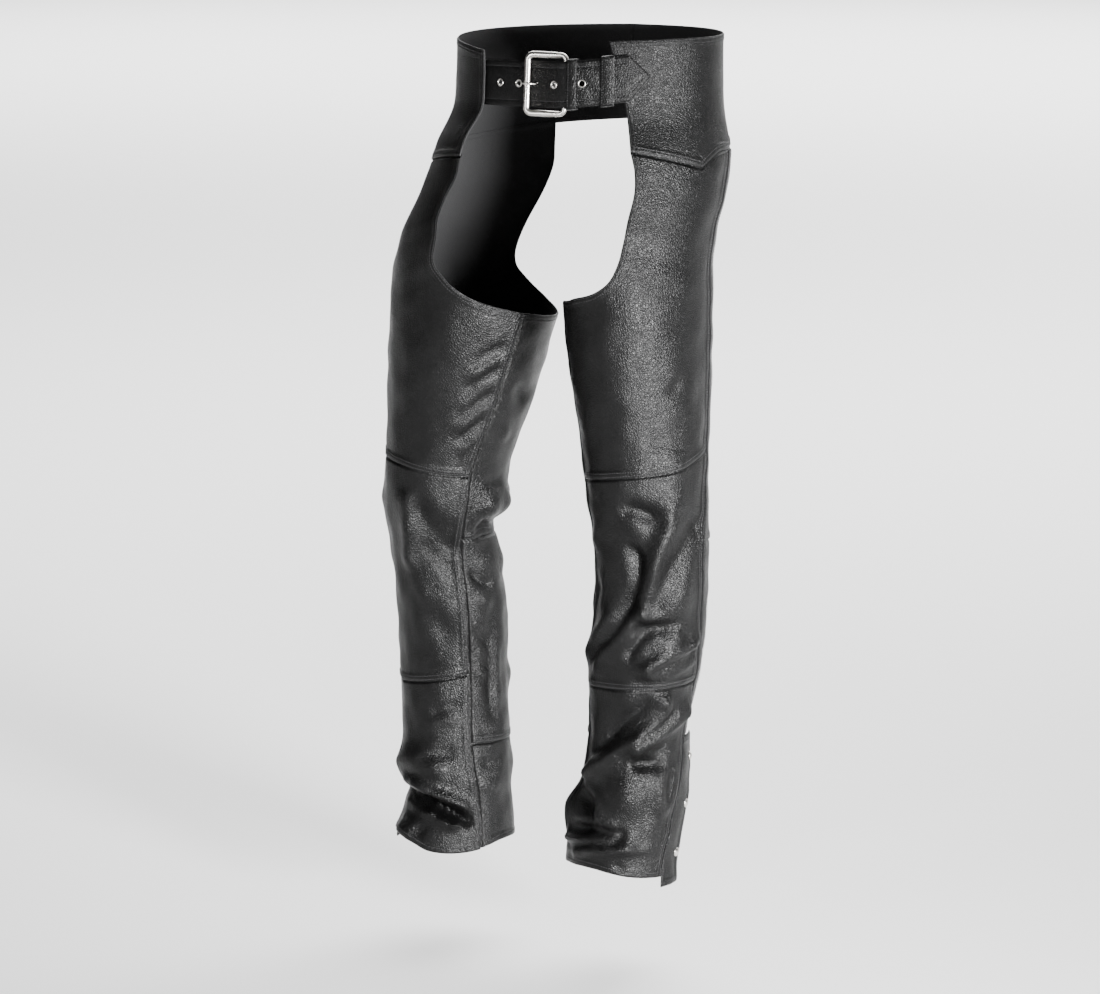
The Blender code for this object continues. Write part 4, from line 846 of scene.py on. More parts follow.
def build_panel(side, name, lines, borders):
    """One shell on its patch, with its borders' relief and their stitch rows."""
    grid = panel_grid(side, lines)
    borders = [(kind, line, 0.0) for kind, line in borders]
    edges = edges_of(side, grid, borders)
    # Mask of the painted highlight: strongest at the borders, fading inward.
    rim = np.maximum.reduce([EDGES[kind][3] * bell(d, EDGE_HIGHLIGHT_REACH) for kind, d, _ in edges])
    bent = np.abs(fold_height(FOLDS[side], *apart(grid))) / FULL_FOLD
    bent += np.abs(crease_height(CREASES[side], *apart(grid))) / FULL_CREASE
    sewn(side, name, grid, relief(edges), rim, np.clip(bent, 0, 1), borders)


for side in SIDES:
    for name, (lines, borders) in leg_panels(side).items():
        build_panel(side, name, lines, borders)

# %% [markdown]
# ## The side closing
# Down the outer leg a narrow strip covers the closing, and at the bottom a flap is held with
# three snaps. Both lie on the back panels: they are the same surface, lifted by their thickness.

# %% Side strip and snap flap
STRIP_WIDTH, FLAP_WIDTH, FLAP_DROP, FLAP_FLARE = 0.016, 0.034, 0.012, 0.003
LAID_HEIGHT, LAID_THICK, END_GAP, WIDE_ENOUGH = 0.0017, 0.0013, 0.001, 0.022


def laid_piece(side, name, top, bottom, width, flare, kinds):
    """A strip of leather on the back panels: columns at even widths from the side line."""
    widths = np.linspace(0.0006, width, 11)
    if width > WIDE_ENOUGH:
        widths = fractions(width, 5) * (width - 0.0004) + 0.0004
    levels = top - fractions(top - bottom, round((top - bottom) / STEP)) * (top - bottom)
    heights, across = np.meshgrid(levels, widths, indexing="ij")
    start = columns_at(SIDE_LINE, heights)[0]
    per_degree, _ = steps_of(side, start, heights)
    grid = np.stack([start + across / np.linalg.norm(per_degree, axis=-1), heights], -1)
    out = LAID_HEIGHT + flare * eased(0, 1, across / width)
    lines = {
        "top": (grid[0], out.mean()),
        "bottom": (grid[-1], out.mean()),
        "near": (grid[:, 0], out[:, 0].mean()),
        "far": (grid[:, -1], out[:, -1].mean()),
    }
    borders = [(kind, *lines[which]) for which, kind in kinds.items()]
    edges = edges_of(side, grid, borders)
    # Mask of the painted highlight along the strip's edges.
    rim = 0.2 * bell(np.minimum.reduce([d for _, d, _ in edges]), 0.0010)
    lift = relief(edges)[0] + out
    borders = [(kind, joined(line, line[-1:]), mean) for kind, line, mean in borders]
    sewn(side, name, grid, (lift, out - LAID_THICK), rim, 0.0, borders)
    return grid, lift


STRIP_BORDERS = {"near": "strip", "far": "strip"}
FLAP_BORDERS = {"near": "strip", "far": "hem", "top": "hem", "bottom": "hem"}
FLAPS = {}
for side in SIDES:
    top = float(line_height(YOKE_SEAM_BACK, side, SIDE_TOP)) - END_GAP
    calf = meeting(SIDE_LINE, CALF_SEAM, side, 80)[1]
    low = meeting(SIDE_LINE, HEM, side, 53)[1] - FLAP_DROP
    laid_piece(side, "side_strip", top, calf + END_GAP, STRIP_WIDTH, 0.0, STRIP_BORDERS)
    size = (FLAP_WIDTH, FLAP_FLARE)
    FLAPS[side] = laid_piece(side, "snap_flap", calf - END_GAP, low, *size, FLAP_BORDERS)
print("snap flaps:", list(FLAPS))

# %% [markdown]
# ## The belt
# The belt crosses the front, from inside the right yoke, over the heel of the buckle, to a point
# on the left yoke. Its path is given as how far it stands off the yoke at each angle round the
# waist, and its centre line rises toward the point.

# %% Path of the belt
BELT_PATH = metres((
    (-62, -4.4), (-50, -4.4), (-38, -4.4), (-33, -4.4), (-26, -4), (-19, -3), (-12, -2.2),
    (-7.4, -2.1), (-2, 0.2), (3, 4.2), (8, 8.6), (12, 9), (17, 7.6), (23, 6), (30, 5.5),
    (37, 5.5), (44.8, 5.5),
), (1, MM))
BELT_RISE = metres((
    (-62, -3), (-22, -2.2), (-8, -2), (11, -2), (20, 0.4), (36, 5.5), (45, 7.7),
), (1, MM))
BELT_WIDTH, BELT_THICK, PER_DEGREE = 0.051, 0.0030, 0.00265
TIP_FROM, TIP_TO, TIP_END = 36.0, 44.8, 0.0012


def belt_height(angle):
    return columns_at(BELT_RISE, angle)[0]


def belt_offset(angle):
    return through(angle, *np.array(BELT_PATH).T)


def on_belt(angle, offset, above=0.0):
    """A point at an angle round the waist, standing off the yoke by offset, and above the belt's
    centre line by a distance measured up the flat of the belt."""
    given = (np.asarray(value, float) for value in (angle, offset, above))
    angle, offset, above = np.broadcast_arrays(*given)
    at = "left", angle, belt_height(angle)
    up = unit(steps_of(*at)[1])
    return bare_surface(*at) + outward_of(*at) * offset[..., None] + up * above[..., None]


def two_faces(path, thick):
    """The two sides of a run of (angle, offset) that is the middle of a piece of leather."""
    step = unit(np.gradient(path * (PER_DEGREE, 1), axis=0))
    side = np.stack([-step[:, 1] / PER_DEGREE, step[:, 0]], -1) * np.asarray(thick)[..., None] / 2
    return path + side, path - side


def smooth_path(points, count):
    points = np.array(sorted(points), float)
    angles = np.linspace(points[0, 0], points[-1, 0], count + 1)
    return np.stack([angles, through(angles, points[:, 0], points[:, 1])], -1)


def strap(node, path, thick, half, levels, lift, rim):
    """A strap along a path: the two faces of its middle, at levels of its half width, with the
    outer face moved by lift and both edges rounded."""
    level = levels[:, None]
    outer, inner = two_faces(path, thick)
    offset = outer[:, 1] + lift
    front = on_belt(np.broadcast_to(outer[:, 0], offset.shape), offset, level * half)
    back = on_belt(inner[:, 0], inner[:, 1] + np.zeros_like(level), level * half * 0.985)
    return keep(shell(f"{node}_leather", front, back, rim), node, PIECES)


belt_run = float(np.ptp(np.array(BELT_PATH)[:, 0])) * PER_DEGREE
print("belt runs", round(belt_run, 3), "m round the front")

# %% [markdown]
# The strap is thick leather with rounded edges and one row of stitches that follows it round
# its point. Inside the row it is slightly domed, and where it is worn most it ripples a little.

# %% Belt strap
ROW_IN, BELT_ROUND, BELT_DROP = 0.0072, 0.0026, 0.0013
BELT_GROOVE, BELT_GROOVE_WIDTH, DOME, RIPPLE = 0.0006, 0.0008, 0.0005, 0.00022
path = smooth_path(BELT_PATH, 190)
tip = np.clip((path[:, 0] - TIP_FROM) / (TIP_TO - TIP_FROM), 0, 1)
corner = BELT_WIDTH / 2
half = corner * (1 - tip) + TIP_END * tip
levels = 1 - 2 * fractions(BELT_WIDTH, 14)
x, tip_x, end_x = path[:, 0] * PER_DEGREE, TIP_FROM * PER_DEGREE, TIP_TO * PER_DEGREE
upper_edge = np.array([(x[0], corner, 0), (tip_x, corner, 0), (end_x, TIP_END, 0)])
outline = np.concatenate([upper_edge, upper_edge[::-1] * (1, -1, 1)])
spans = zip(outline[:-1], outline[1:])
dense = np.concatenate([np.linspace(a, b, 60, endpoint=False) for a, b in spans])
flat_x, flat_y, _ = np.broadcast_arrays(x, levels[:, None] * half, 0.0)
edge_distance, _ = away_from(np.stack([flat_x, flat_y, 0 * flat_x], -1), dense)
ripple = np.sin(flat_x / 0.0021 + 3 * np.sin(flat_y / 0.012) + 2 * np.sin(flat_x / 0.017))
belt_lift = -BELT_DROP * (1 - eased(0, BELT_ROUND, edge_distance))
belt_lift -= BELT_GROOVE * bell(edge_distance - ROW_IN, BELT_GROOVE_WIDTH)
belt_lift += DOME * eased(ROW_IN, ROW_IN + 0.009, edge_distance)
belt_lift += RIPPLE * ripple * (0.25 + 0.75 * bell(flat_x - 0.045, 0.035))
# Mask of the painted highlight along the belt's edges.
rim = 0.2 * bell(edge_distance, 0.0011)
belt = strap("belt_strap", path, BELT_THICK, half, levels, belt_lift, rim)
outer_path, _ = two_faces(path, BELT_THICK)


def belt_row(start, end, above_start, above_end, sign):
    """One straight run of stitches on the belt, from one angle and height to another."""
    angle = np.linspace(start, end, 400)
    above = np.linspace(above_start, above_end, 400)
    face = np.interp(angle, outer_path[:, 0], outer_path[:, 1]) - 0.0003
    points, beside = on_belt(angle, face, above), on_belt(angle, face, above - sign * 0.0006)
    lay_stitches("belt", points, beside, outward_of("left", angle, belt_height(angle)))


slant = math.atan2(corner - TIP_END, end_x - tip_x)
row_above = corner - ROW_IN
row_turn = (tip_x - ROW_IN * math.tan(slant / 2)) / PER_DEGREE
row_point = (end_x - ROW_IN / math.sin(slant) + TIP_END / math.tan(slant)) / PER_DEGREE
for sign in (1, -1):
    belt_row(path[0, 0], row_turn, sign * row_above, sign * row_above, sign)
    belt_row(row_turn, row_point, sign * row_above, 0.0, sign)
print("belt strap points:", len(belt.data.vertices))

# %% [markdown]
# The holes are cut with real bars, so that we see through the eyelets into shadow, and the
# tongue passes through a long hole as it does on a buckle that works.

# %% Holes in the belt
HOLE_RADIUS, HOLE_SIDES, HOLE_REACH = 0.0033, 28, 0.006
EYELET_ANGLES = (-22.4, -12.2, 5.4, 16.6)
TONGUE_HOLE_ANGLE, TONGUE_HOLE_SIZE = -4.0, (0.0078, 0.0046, 0.03)


def frame_at(angle, offset, lifted=0.0):
    """Place, across, up and outward of the belt at an angle."""
    before, here, after = (on_belt(a, offset(a)) for a in (angle - 1.0, angle, angle + 1.0))
    up = on_belt(angle, 0.0, 1.0) - on_belt(angle, 0.0)
    outward = unit(np.cross(after - before, up))
    across = unit(np.cross(up, outward))
    return here + outward * lifted, across, np.cross(outward, across), outward


def ring_faces(rings, sides, closed=False):
    """Quads between rings of points that follow one another; closed joins the last to the first."""
    steps = np.arange(rings if closed else rings - 1)
    i, j = np.meshgrid(steps, np.arange(sides), indexing="ij")
    k, l = (i + 1) % rings, (j + 1) % sides
    corners = [i * sides + j, i * sides + l, k * sides + l, k * sides + j]
    return np.stack(corners, -1).reshape(-1, 4).tolist()


def end_faces(rings, sides):
    """The two faces that close the first and the last of some rings."""
    return [list(range(sides)), list(range((rings - 1) * sides, rings * sides))]


def turned(profile, place, outward, count):
    """The points of a profile (radius, height) turned about an axis."""
    profile = np.array(profile, float)
    first = unit(np.cross(outward, (0.0, 0.0, 1.0)))
    second = np.cross(outward, first)
    a = np.arange(count) / count * 2 * math.pi
    ring = np.cos(a)[:, None] * first + np.sin(a)[:, None] * second
    points = place + profile[:, None, :1] * ring + profile[:, None, 1:] * outward
    return points.reshape(-1, 3)


def add_mesh(name, points, faces, smooth=50):
    """A new object from points and faces, with its normals facing out."""
    mesh = bpy.data.meshes.new(name)
    mesh.from_pydata(np.asarray(points), [], faces)
    shaped = bmesh.new()
    shaped.from_mesh(mesh)
    bmesh.ops.recalc_face_normals(shaped, faces=shaped.faces)
    shaped.to_mesh(mesh)
    shaped.free()
    mesh.shade_smooth()
    mesh.set_sharp_from_angle(angle=math.radians(smooth))
    return placed(name, mesh)


def block_points(place, axes, size):
    """The eight corners of a box and its six faces."""
    signs = np.array([(x, y, z) for x in (-1, 1) for y in (-1, 1) for z in (-1, 1)])
    faces = [(0, 1, 3, 2), (4, 6, 7, 5), (0, 4, 5, 1), (2, 3, 7, 6), (0, 2, 6, 4), (1, 5, 7, 3)]
    return place + signs * np.array(size) / 2 @ np.stack(axes), faces


def cut_with(obj, shapes):
    """Cuts shapes out of a piece and keeps the result as its mesh."""
    cutters = [add_mesh("cutter", *shape) for shape in shapes]
    for cutter in cutters:
        boolean = obj.modifiers.new("hole", "BOOLEAN")
        boolean.object = cutter
        boolean.operation = "DIFFERENCE"
    graph = bpy.context.evaluated_depsgraph_get()
    finished = bpy.data.meshes.new_from_object(obj.evaluated_get(graph))
    obj.modifiers.clear()
    old, obj.data = obj.data, finished
    finished.name = old.name + "_cut"
    for cutter in cutters:
        bpy.data.objects.remove(cutter, do_unlink=True)


shapes = []
for angle in EYELET_ANGLES:
    place, _, _, outward = frame_at(angle, belt_offset)
    bar = ((HOLE_RADIUS, -HOLE_REACH), (HOLE_RADIUS, HOLE_REACH))
    faces = ring_faces(2, HOLE_SIDES) + end_faces(2, HOLE_SIDES)
    shapes.append((turned(bar, place, outward, HOLE_SIDES), faces))
place, *axes = frame_at(TONGUE_HOLE_ANGLE, belt_offset)
shapes.append(block_points(place, axes, TONGUE_HOLE_SIZE))
cut_with(belt, shapes)
print("belt strap after cutting:", len(belt.data.polygons), "faces")

# %% [markdown]
# The buckle is satin nickel: a frame of round bar, and a tongue that hooks under the heel bar,
# comes up through the strap and rests on the front bar. Each is a circle swept along a path.

# %% Buckle, eyelets and snaps
ROD, TONGUE_ROD, BUCKLE_HEIGHT, BUCKLE_CORNER = 0.0029, 0.0015, 0.070, 0.0065
HEEL_BAR, FRONT_BAR, ROD_GAP, FRONT_WIDER = (9.2, 0.0021), (-7.4, 0.0031), 0.0003, 0.0007
TONGUE_PATH = metres((
    (6.2, -2.2), (2.5, -2.5), (0, -3), (-1.8, -3.4), (-3.2, -3), (-4, -0.8), (-4.6, 2.2),
    (-5.3, 5.2), (-6.3, 7.2), (-7.6, 7.6), (-8.8, 7.2),
), (1, MM))


def swept(name, points, wide, high, level, closed, sides):
    """A bar along points with an oval section, wide by high; its width lies square to level."""
    points = np.asarray(points, float)
    ahead = np.gradient(points, axis=0)
    if closed:
        ahead = np.roll(points, -1, 0) - np.roll(points, 1, 0)
    ahead = unit(ahead)
    across = unit(np.cross(np.broadcast_to(level, points.shape), ahead))[:, None]
    up = np.cross(ahead, across[:, 0])[:, None]
    a = (np.arange(sides) / sides * 2 * math.pi)[None, :, None]
    wide, high = (np.broadcast_to(v, len(points))[:, None, None] for v in (wide, high))
    rings = points[:, None] + np.cos(a) * across * wide + np.sin(a) * up * high
    faces = ring_faces(len(points), sides, closed)
    if not closed:
        faces += end_faces(len(points), sides)
    return add_mesh(name, rings.reshape(-1, 3), faces, 60)


def round_bar(bar, radius, degrees):
    """Places (angle, offset) round a bar of the buckle, at a radius from its middle."""
    turn = np.radians(degrees)
    return bar + radius * np.stack([np.cos(turn) / PER_DEGREE, np.sin(turn)], -1)


front, heel = on_belt(*FRONT_BAR), on_belt(*HEEL_BAR)
middle, across = (front + heel) / 2, unit(heel - front)
up = (on_belt(*FRONT_BAR, 1.0) + on_belt(*HEEL_BAR, 1.0)) / 2 - middle
up = unit(up - across * (up @ across))
half_wide, half_high = np.linalg.norm(heel - front) / 2, BUCKLE_HEIGHT / 2 - ROD
corners = []
for right, top, start in ((1, 1, 0), (-1, 1, 90), (-1, -1, 180), (1, -1, 270)):
    a = np.radians(start + np.linspace(0, 90, 13))
    sideways = right * (half_wide - BUCKLE_CORNER) + BUCKLE_CORNER * np.cos(a)
    upward = top * (half_high - BUCKLE_CORNER) + BUCKLE_CORNER * np.sin(a)
    corners.append(middle + across * sideways[:, None] + up * upward[:, None])
runs = []
for one, two in zip(corners, corners[1:] + corners[:1]):
    runs += [one, np.linspace(one[-1], two[0], 10)[1:-1]]
ring = np.concatenate(runs)
toward_front = 1 - eased(0.45, 0.9, ((ring - front) @ across) / (2 * half_wide))
wide = ROD + FRONT_WIDER * toward_front
facing = np.cross(across, up)
keep(swept("buckle_frame_nickel", ring, wide, ROD, facing, True, 24), "buckle_frame", METAL)

hooked = round_bar(HEEL_BAR, ROD + ROD_GAP + TONGUE_ROD, np.linspace(-20, -90, 12))
tongue_path = np.concatenate([hooked, smooth_path(TONGUE_PATH, 60)[::-1]])
points = on_belt(*tongue_path.T)
last = np.clip((np.linspace(0, 1, len(points)) - 0.9) / 0.1, 0, 1)
slim = TONGUE_ROD * np.sqrt(np.clip(1 - last**2, 0.02, 1))
keep(swept("buckle_tongue_nickel", points, slim, slim, up, False, 16), "buckle_tongue", METAL)

# radius and height of the eyelets' and the snap caps' profiles, in mm
EYELET = (
    (4.45, -0.2), (4.55, 0.15), (4.4, 0.5), (4.1, 0.75), (3.75, 0.85), (3.4, 0.75),
    (3.1, 0.45), (3.0, 0.0), (3.0, -0.9), (3.2, -0.9), (3.2, -0.2),
)
CAP = (
    (4.9, -0.6), (5.2, 0.0), (5.2, 0.3), (5.0, 0.6), (4.6, 0.75), (4.3, 0.72), (4.1, 0.85),
    (3.6, 1.25), (2.9, 1.65), (2.1, 1.95), (1.2, 2.15), (0.02, 2.2),
)
TURNED_SIDES = 40
for number, angle in enumerate(EYELET_ANGLES, 1):
    place, _, _, outward = frame_at(angle, belt_offset, BELT_THICK / 2 + 0.0003)
    points = turned(np.array(EYELET) / MM, place, outward, TURNED_SIDES)
    faces = ring_faces(len(EYELET), TURNED_SIDES, True)
    keep(add_mesh(f"eyelet_{number}_nickel", points, faces, 40), f"eyelet_{number}", METAL)

for side in SIDES:
    grid, lift = FLAPS[side]
    flap = leather(side, *apart(grid), lift)
    for place in ("top", "middle", "low"):
        node = f"snap_{place}_{side}"
        low, high = (np.array(corner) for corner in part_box(node))
        gap = np.linalg.norm(flap - (low + high) / 2, axis=-1)
        i, j = np.unravel_index(gap.argmin(), gap.shape)
        normal = np.cross(flap[i + 2, j] - flap[i - 2, j], flap[i, j + 2] - flap[i, j - 2])
        normal = unit(normal * np.sign(normal @ outward_of(side, *grid[i, j])))
        points = turned(np.array(CAP) / MM, flap[i, j] + normal * 0.0002, normal, TURNED_SIDES)
        faces = ring_faces(len(CAP), TURNED_SIDES) + end_faces(len(CAP), TURNED_SIDES)
        keep(add_mesh(f"{node}_nickel", points, faces, 40), node, METAL)
print("metal pieces:", len(METAL))

# %% [markdown]
# The short strap that carries the buckle runs out from the left yoke, round the heel bar and
# back under itself. Two loops, the keepers, hold the end of the belt down on it.

# %% Buckle strap and keepers
BUCKLE_STRAP_FROM, BUCKLE_STRAP_THICK, KEEPER_THICK, LAY_GAP = 33.5, 0.0012, 0.0015, 0.0008
KEEPERS = {"inner": (10.9, 14.6), "outer": (24.2, 29.6)}
NARROWER, KEEPER_CORNER, KEEPER_ROUND, KEEPER_ROW = 0.0012, 0.0030, 0.0012, 0.0013
loop = ROD + ROD_GAP + BUCKLE_STRAP_THICK / 2
lower = LAY_GAP + BUCKLE_STRAP_THICK / 2
upper = lower + BUCKLE_STRAP_THICK + ROD_GAP
run = np.linspace(BUCKLE_STRAP_FROM, HEEL_BAR[0] + 2.6 * loop / PER_DEGREE, 31)
out, back = (np.stack([run, np.full(31, offset)], -1) for offset in (lower, upper))
path = np.concatenate([out, round_bar(HEEL_BAR, loop, np.linspace(-60, -300, 41)), back[::-1]])
levels = 1 - 2 * fractions(BELT_WIDTH, 6)
half = np.full(len(path), BELT_WIDTH / 2 - NARROWER)
from_edge = (1 - np.abs(levels[:, None])) * half
lift = -0.0002 * (1 - eased(0, 0.0012, from_edge))
# Mask of the painted highlight along the strap's edges.
rim = 0.2 * bell(from_edge, 0.001)
buckle_strap = strap("buckle_strap", path, BUCKLE_STRAP_THICK, half, levels, lift, rim)
place, *axes = frame_at(HEEL_BAR[0], lambda angle: HEEL_BAR[1])
cut_with(buckle_strap, [block_points(place, axes, (4 * loop, 2 * TONGUE_ROD + 0.0016, 0.02))])

for name, (start, end) in KEEPERS.items():
    low = LAY_GAP + KEEPER_THICK / 2
    top = max(belt_offset(start), belt_offset(end)) + BELT_THICK / 2 + low
    side = BELT_WIDTH / 2 + low
    turn = np.radians(np.linspace(0, 90, 9))
    inward = KEEPER_CORNER * (1 - np.stack([np.cos(turn), np.sin(turn)], -1))
    rise = (side, top) - inward
    flat_top = [(side * f, top) for f in (0.7, 0.5, 0.3, 0.1)]
    half = np.concatenate([[(side, low), (side, (low + rise[0, 1]) / 2)], rise, flat_top])
    path = np.concatenate([half * (-1, 1), half[::-1]])
    step = unit(np.gradient(path, axis=0))
    normal = np.stack([-step[:, 1], step[:, 0]], -1) * KEEPER_THICK / 2
    across = np.array([0, 0.03, 0.08, 0.16, 0.3, 0.5, 0.7, 0.84, 0.92, 0.97, 1])[:, None]
    from_edge = np.minimum(across, 1 - across) * (end - start) * PER_DEGREE + np.zeros(len(path))
    angles = start + (end - start) * across + np.zeros(len(path))
    lift = 0.0006 * eased(KEEPER_ROUND, 0.005, from_edge)
    lift -= 0.00045 * (1 - eased(0, KEEPER_ROUND, from_edge))
    lift = np.where(np.abs(path[:, 0]) < side - KEEPER_CORNER / 2, lift, 0)
    faces = []
    for sign, moved in ((1, lift), (-1, 0 * lift)):
        face = path + sign * normal
        faces.append(on_belt(angles, face[:, 1] + moved, face[:, 0] + np.zeros_like(angles)))
    # The last argument is the mask of the painted highlight along the keeper's edges.
    keeper = shell(f"keeper_{name}_leather", *faces, 0.2 * bell(from_edge, 0.001))
    above = np.linspace(KEEPER_CORNER - side, side - KEEPER_CORNER, 80)
    face = top + KEEPER_THICK / 2 - 0.0001
    for angle in (start + KEEPER_ROW / PER_DEGREE, end - KEEPER_ROW / PER_DEGREE):
        row = np.full(80, angle)
        points, beside = on_belt(row, face, above), on_belt(row + 0.2, face, above)
        outward = outward_of("left", row, belt_height(row))
        lay_stitches("belt", points, beside, outward, 0.001, 0.0028)
    keep(keeper, f"keeper_{name}", PIECES)
print("leather pieces:", len(PIECES))

# %% [markdown]
# Stitches are short lengths of waxed thread that dip into the leather at both ends. There are
# thousands, so all of a leg's stitches are computed in one go and joined into one mesh.

# %% Stitches
# place along the stitch, thickness and height of its three rings
STITCH_RINGS = ((-0.5, 0.45, -0.5), (0, 1, 0.3), (0.5, 0.45, -0.5))


def build_threads(group, length=0.0025, radius=0.00034, sides=5):
    """Each stitch is three rings along its seam, thin at both ends and sunk there."""
    centre, ahead, up = (np.concatenate(part) for part in zip(*THREADS[group]))
    x, r, z = (np.array(STITCH_RINGS) * (length, radius, radius)).T[:, :, None]
    a = np.arange(sides) / sides * 2 * math.pi
    local = np.stack(np.broadcast_arrays(x, r * np.cos(a), z + r * np.sin(a)), -1)
    local = local.reshape(-1, 3)
    axes = np.stack([ahead, np.cross(up, ahead), up], 1)
    points = (centre[:, None] + local @ axes).reshape(-1, 3)
    start = np.arange(len(centre))[:, None, None] * len(local)
    quads = (start + np.array(ring_faces(3, sides))[None]).reshape(-1, 4)
    caps = np.stack([np.arange(sides)[::-1], np.arange(sides) + 2 * sides])
    caps = (start + caps[None]).reshape(-1, sides)
    mesh = bpy.data.meshes.new(f"{group}_stitches")
    mesh.from_pydata(points, [], quads.tolist() + caps.tolist())
    mesh.shade_smooth()
    print(mesh.name, len(centre), "stitches")
    return placed(mesh.name, mesh)


STITCHES = [build_threads(group) for group in THREADS]

# %% [markdown]
# ## Finish
# The leather is aniline black with a semi-gloss top coat. Its grain is a net of tiny pebbles:
# cells about 2.3 mm wide with creases between them, made with a cell texture that noise bends.
# Where the leather is folded, fine wrinkles are added under the grain. Handling makes the gloss
# uneven, and a painted highlight lightens the colour along the edges. The inner face is matt.

# %% Functions for materials
def node_of(tree, kind, **values):
    """A new node with its settings and input values."""
    node = tree.nodes.new(kind)
    for key, value in values.items():
        if hasattr(node, key):
            setattr(node, key, value)
        else:
            node.inputs[key.replace("_", " ")].default_value = value
    return node


def new_finish(name):
    """A new material, its node tree, its shader and where its textures are read."""
    material = bpy.data.materials.new(name)
    material.use_nodes = True
    tree = material.node_tree
    where = node_of(tree, "ShaderNodeTexCoord").outputs["Object"]
    return material, tree, tree.nodes["Principled BSDF"].inputs, where


def noise(tree, where, **values):
    """The outputs of a noise texture read at a place."""
    node = node_of(tree, "ShaderNodeTexNoise", **values)
    tree.links.new(where, node.inputs["Vector"])
    return node.outputs


def ranged(tree, value, low, high, to_low, to_high):
    """Maps a value from one range to another."""
    values = {"From_Min": low, "From_Max": high, "To_Min": to_low, "To_Max": to_high}
    node = node_of(tree, "ShaderNodeMapRange", **values)
    tree.links.new(value, node.inputs["Value"])
    return node.outputs["Result"]


def mixed(tree, factor, one, two):
    """One value passing into another by a factor."""
    node = node_of(tree, "ShaderNodeMix", data_type="FLOAT")
    for key, value in ((0, factor), (2, one), (3, two)):
        if isinstance(value, float):
            node.inputs[key].default_value = value
        else:
            tree.links.new(value, node.inputs[key])
    return node.outputs[0]


def maths(tree, operation, value, other=0.0):
    """A value changed by a number."""
    node = node_of(tree, "ShaderNodeMath", operation=operation)
    node.inputs[1].default_value = other
    tree.links.new(value, node.inputs[0])
    return node.outputs[0]


def bumped(tree, height, distance, normal, strength=1.0):
    """A bump from a height, which gives its normal to an input."""
    node = node_of(tree, "ShaderNodeBump", Strength=strength, Distance=distance)
    tree.links.new(height, node.inputs["Height"])
    tree.links.new(node.outputs["Normal"], normal)
    return node


def kept_value(tree, name):
    """A number that the shells keep with each point."""
    return node_of(tree, "ShaderNodeAttribute", attribute_name=name).outputs["Fac"]


print("material functions are ready")

# %% Black leather, thread and nickel
GRAIN_SCALE, GRAIN_DEPTH, GRAIN_BEND, WRINKLE_DEPTH = 430.0, 0.00034, 0.0022, 0.00028
# The second tone is a painted highlight: the lighter colour put along the edges.
LEATHER_TONE, EDGE_HIGHLIGHT_TONE, INSIDE_TONE = (0.0010, 0.0020), 0.035, 0.016
LEATHER_GLOSS, CREVICE_GLOSS, INSIDE_GLOSS = (0.30, 0.41), 0.75, 0.85


def leather_finish(name):
    material, tree, shader, where = new_finish(name)
    link = tree.links.new
    broad = noise(tree, where, Scale=14.0, Detail=4.0, Roughness=0.6)["Fac"]
    bend = noise(tree, where, Scale=260.0, Detail=2.0, Roughness=0.5)["Color"]
    fine = noise(tree, where, Scale=1500.0, Detail=3.0, Roughness=0.6)["Fac"]
    moved = node_of(tree, "ShaderNodeVectorMath", operation="MULTIPLY_ADD")
    link(bend, moved.inputs[0])
    moved.inputs[1].default_value = (GRAIN_BEND, GRAIN_BEND, GRAIN_BEND)
    link(where, moved.inputs[2])
    cells = node_of(tree, "ShaderNodeTexVoronoi", feature="DISTANCE_TO_EDGE", Scale=GRAIN_SCALE)
    link(moved.outputs[0], cells.inputs["Vector"])
    pebble = ranged(tree, cells.outputs["Distance"], 0.0, 0.30, 0.0, 1.0)
    grain = bumped(tree, mixed(tree, 0.28, pebble, fine), GRAIN_DEPTH, shader["Normal"])

    path = noise(tree, where, Scale=42.0, Detail=5.0, Roughness=0.62, Distortion=0.5)["Fac"]
    near = maths(tree, "ABSOLUTE", maths(tree, "SUBTRACT", path, 0.5))
    wrinkle = ranged(tree, near, 0.0, 0.07, 0.0, 1.0)
    share = ranged(tree, kept_value(tree, "bent"), 0.0, 1.0, 0.06, 1.0)
    bumped(tree, mixed(tree, share, 1.0, wrinkle), WRINKLE_DEPTH, grain.inputs["Normal"])

    # Painted highlight: near the edges the colour is lightened toward the edge tone.
    worn = ranged(tree, kept_value(tree, "worn"), 0.1, 1.0, 0.0, 0.8)
    inside = kept_value(tree, "inside")
    tone = mixed(tree, worn, ranged(tree, broad, 0.35, 0.65, *LEATHER_TONE), EDGE_HIGHLIGHT_TONE)
    tone = mixed(tree, inside, tone, INSIDE_TONE)
    colour = node_of(tree, "ShaderNodeCombineColor")
    for channel, share in (("Red", 1.0), ("Green", 1.0), ("Blue", 1.03)):
        link(maths(tree, "MULTIPLY", tone, share), colour.inputs[channel])
    link(colour.outputs["Color"], shader["Base Color"])
    rough = ranged(tree, broad, 0.35, 0.65, *LEATHER_GLOSS)
    rough = mixed(tree, ranged(tree, pebble, 0.0, 1.0, 0.25, 0.0), rough, CREVICE_GLOSS)
    link(mixed(tree, inside, rough, INSIDE_GLOSS), shader["Roughness"])
    shader["Specular IOR Level"].default_value = 0.18
    return material


def thread_finish():
    material, tree, shader, where = new_finish("black_thread")
    twist = noise(tree, where, Scale=900.0, Detail=2.0)["Fac"]
    tree.links.new(ranged(tree, twist, 0.3, 0.7, 0.45, 0.75), shader["Roughness"])
    shader["Base Color"].default_value = (0.016, 0.016, 0.017, 1)
    return material


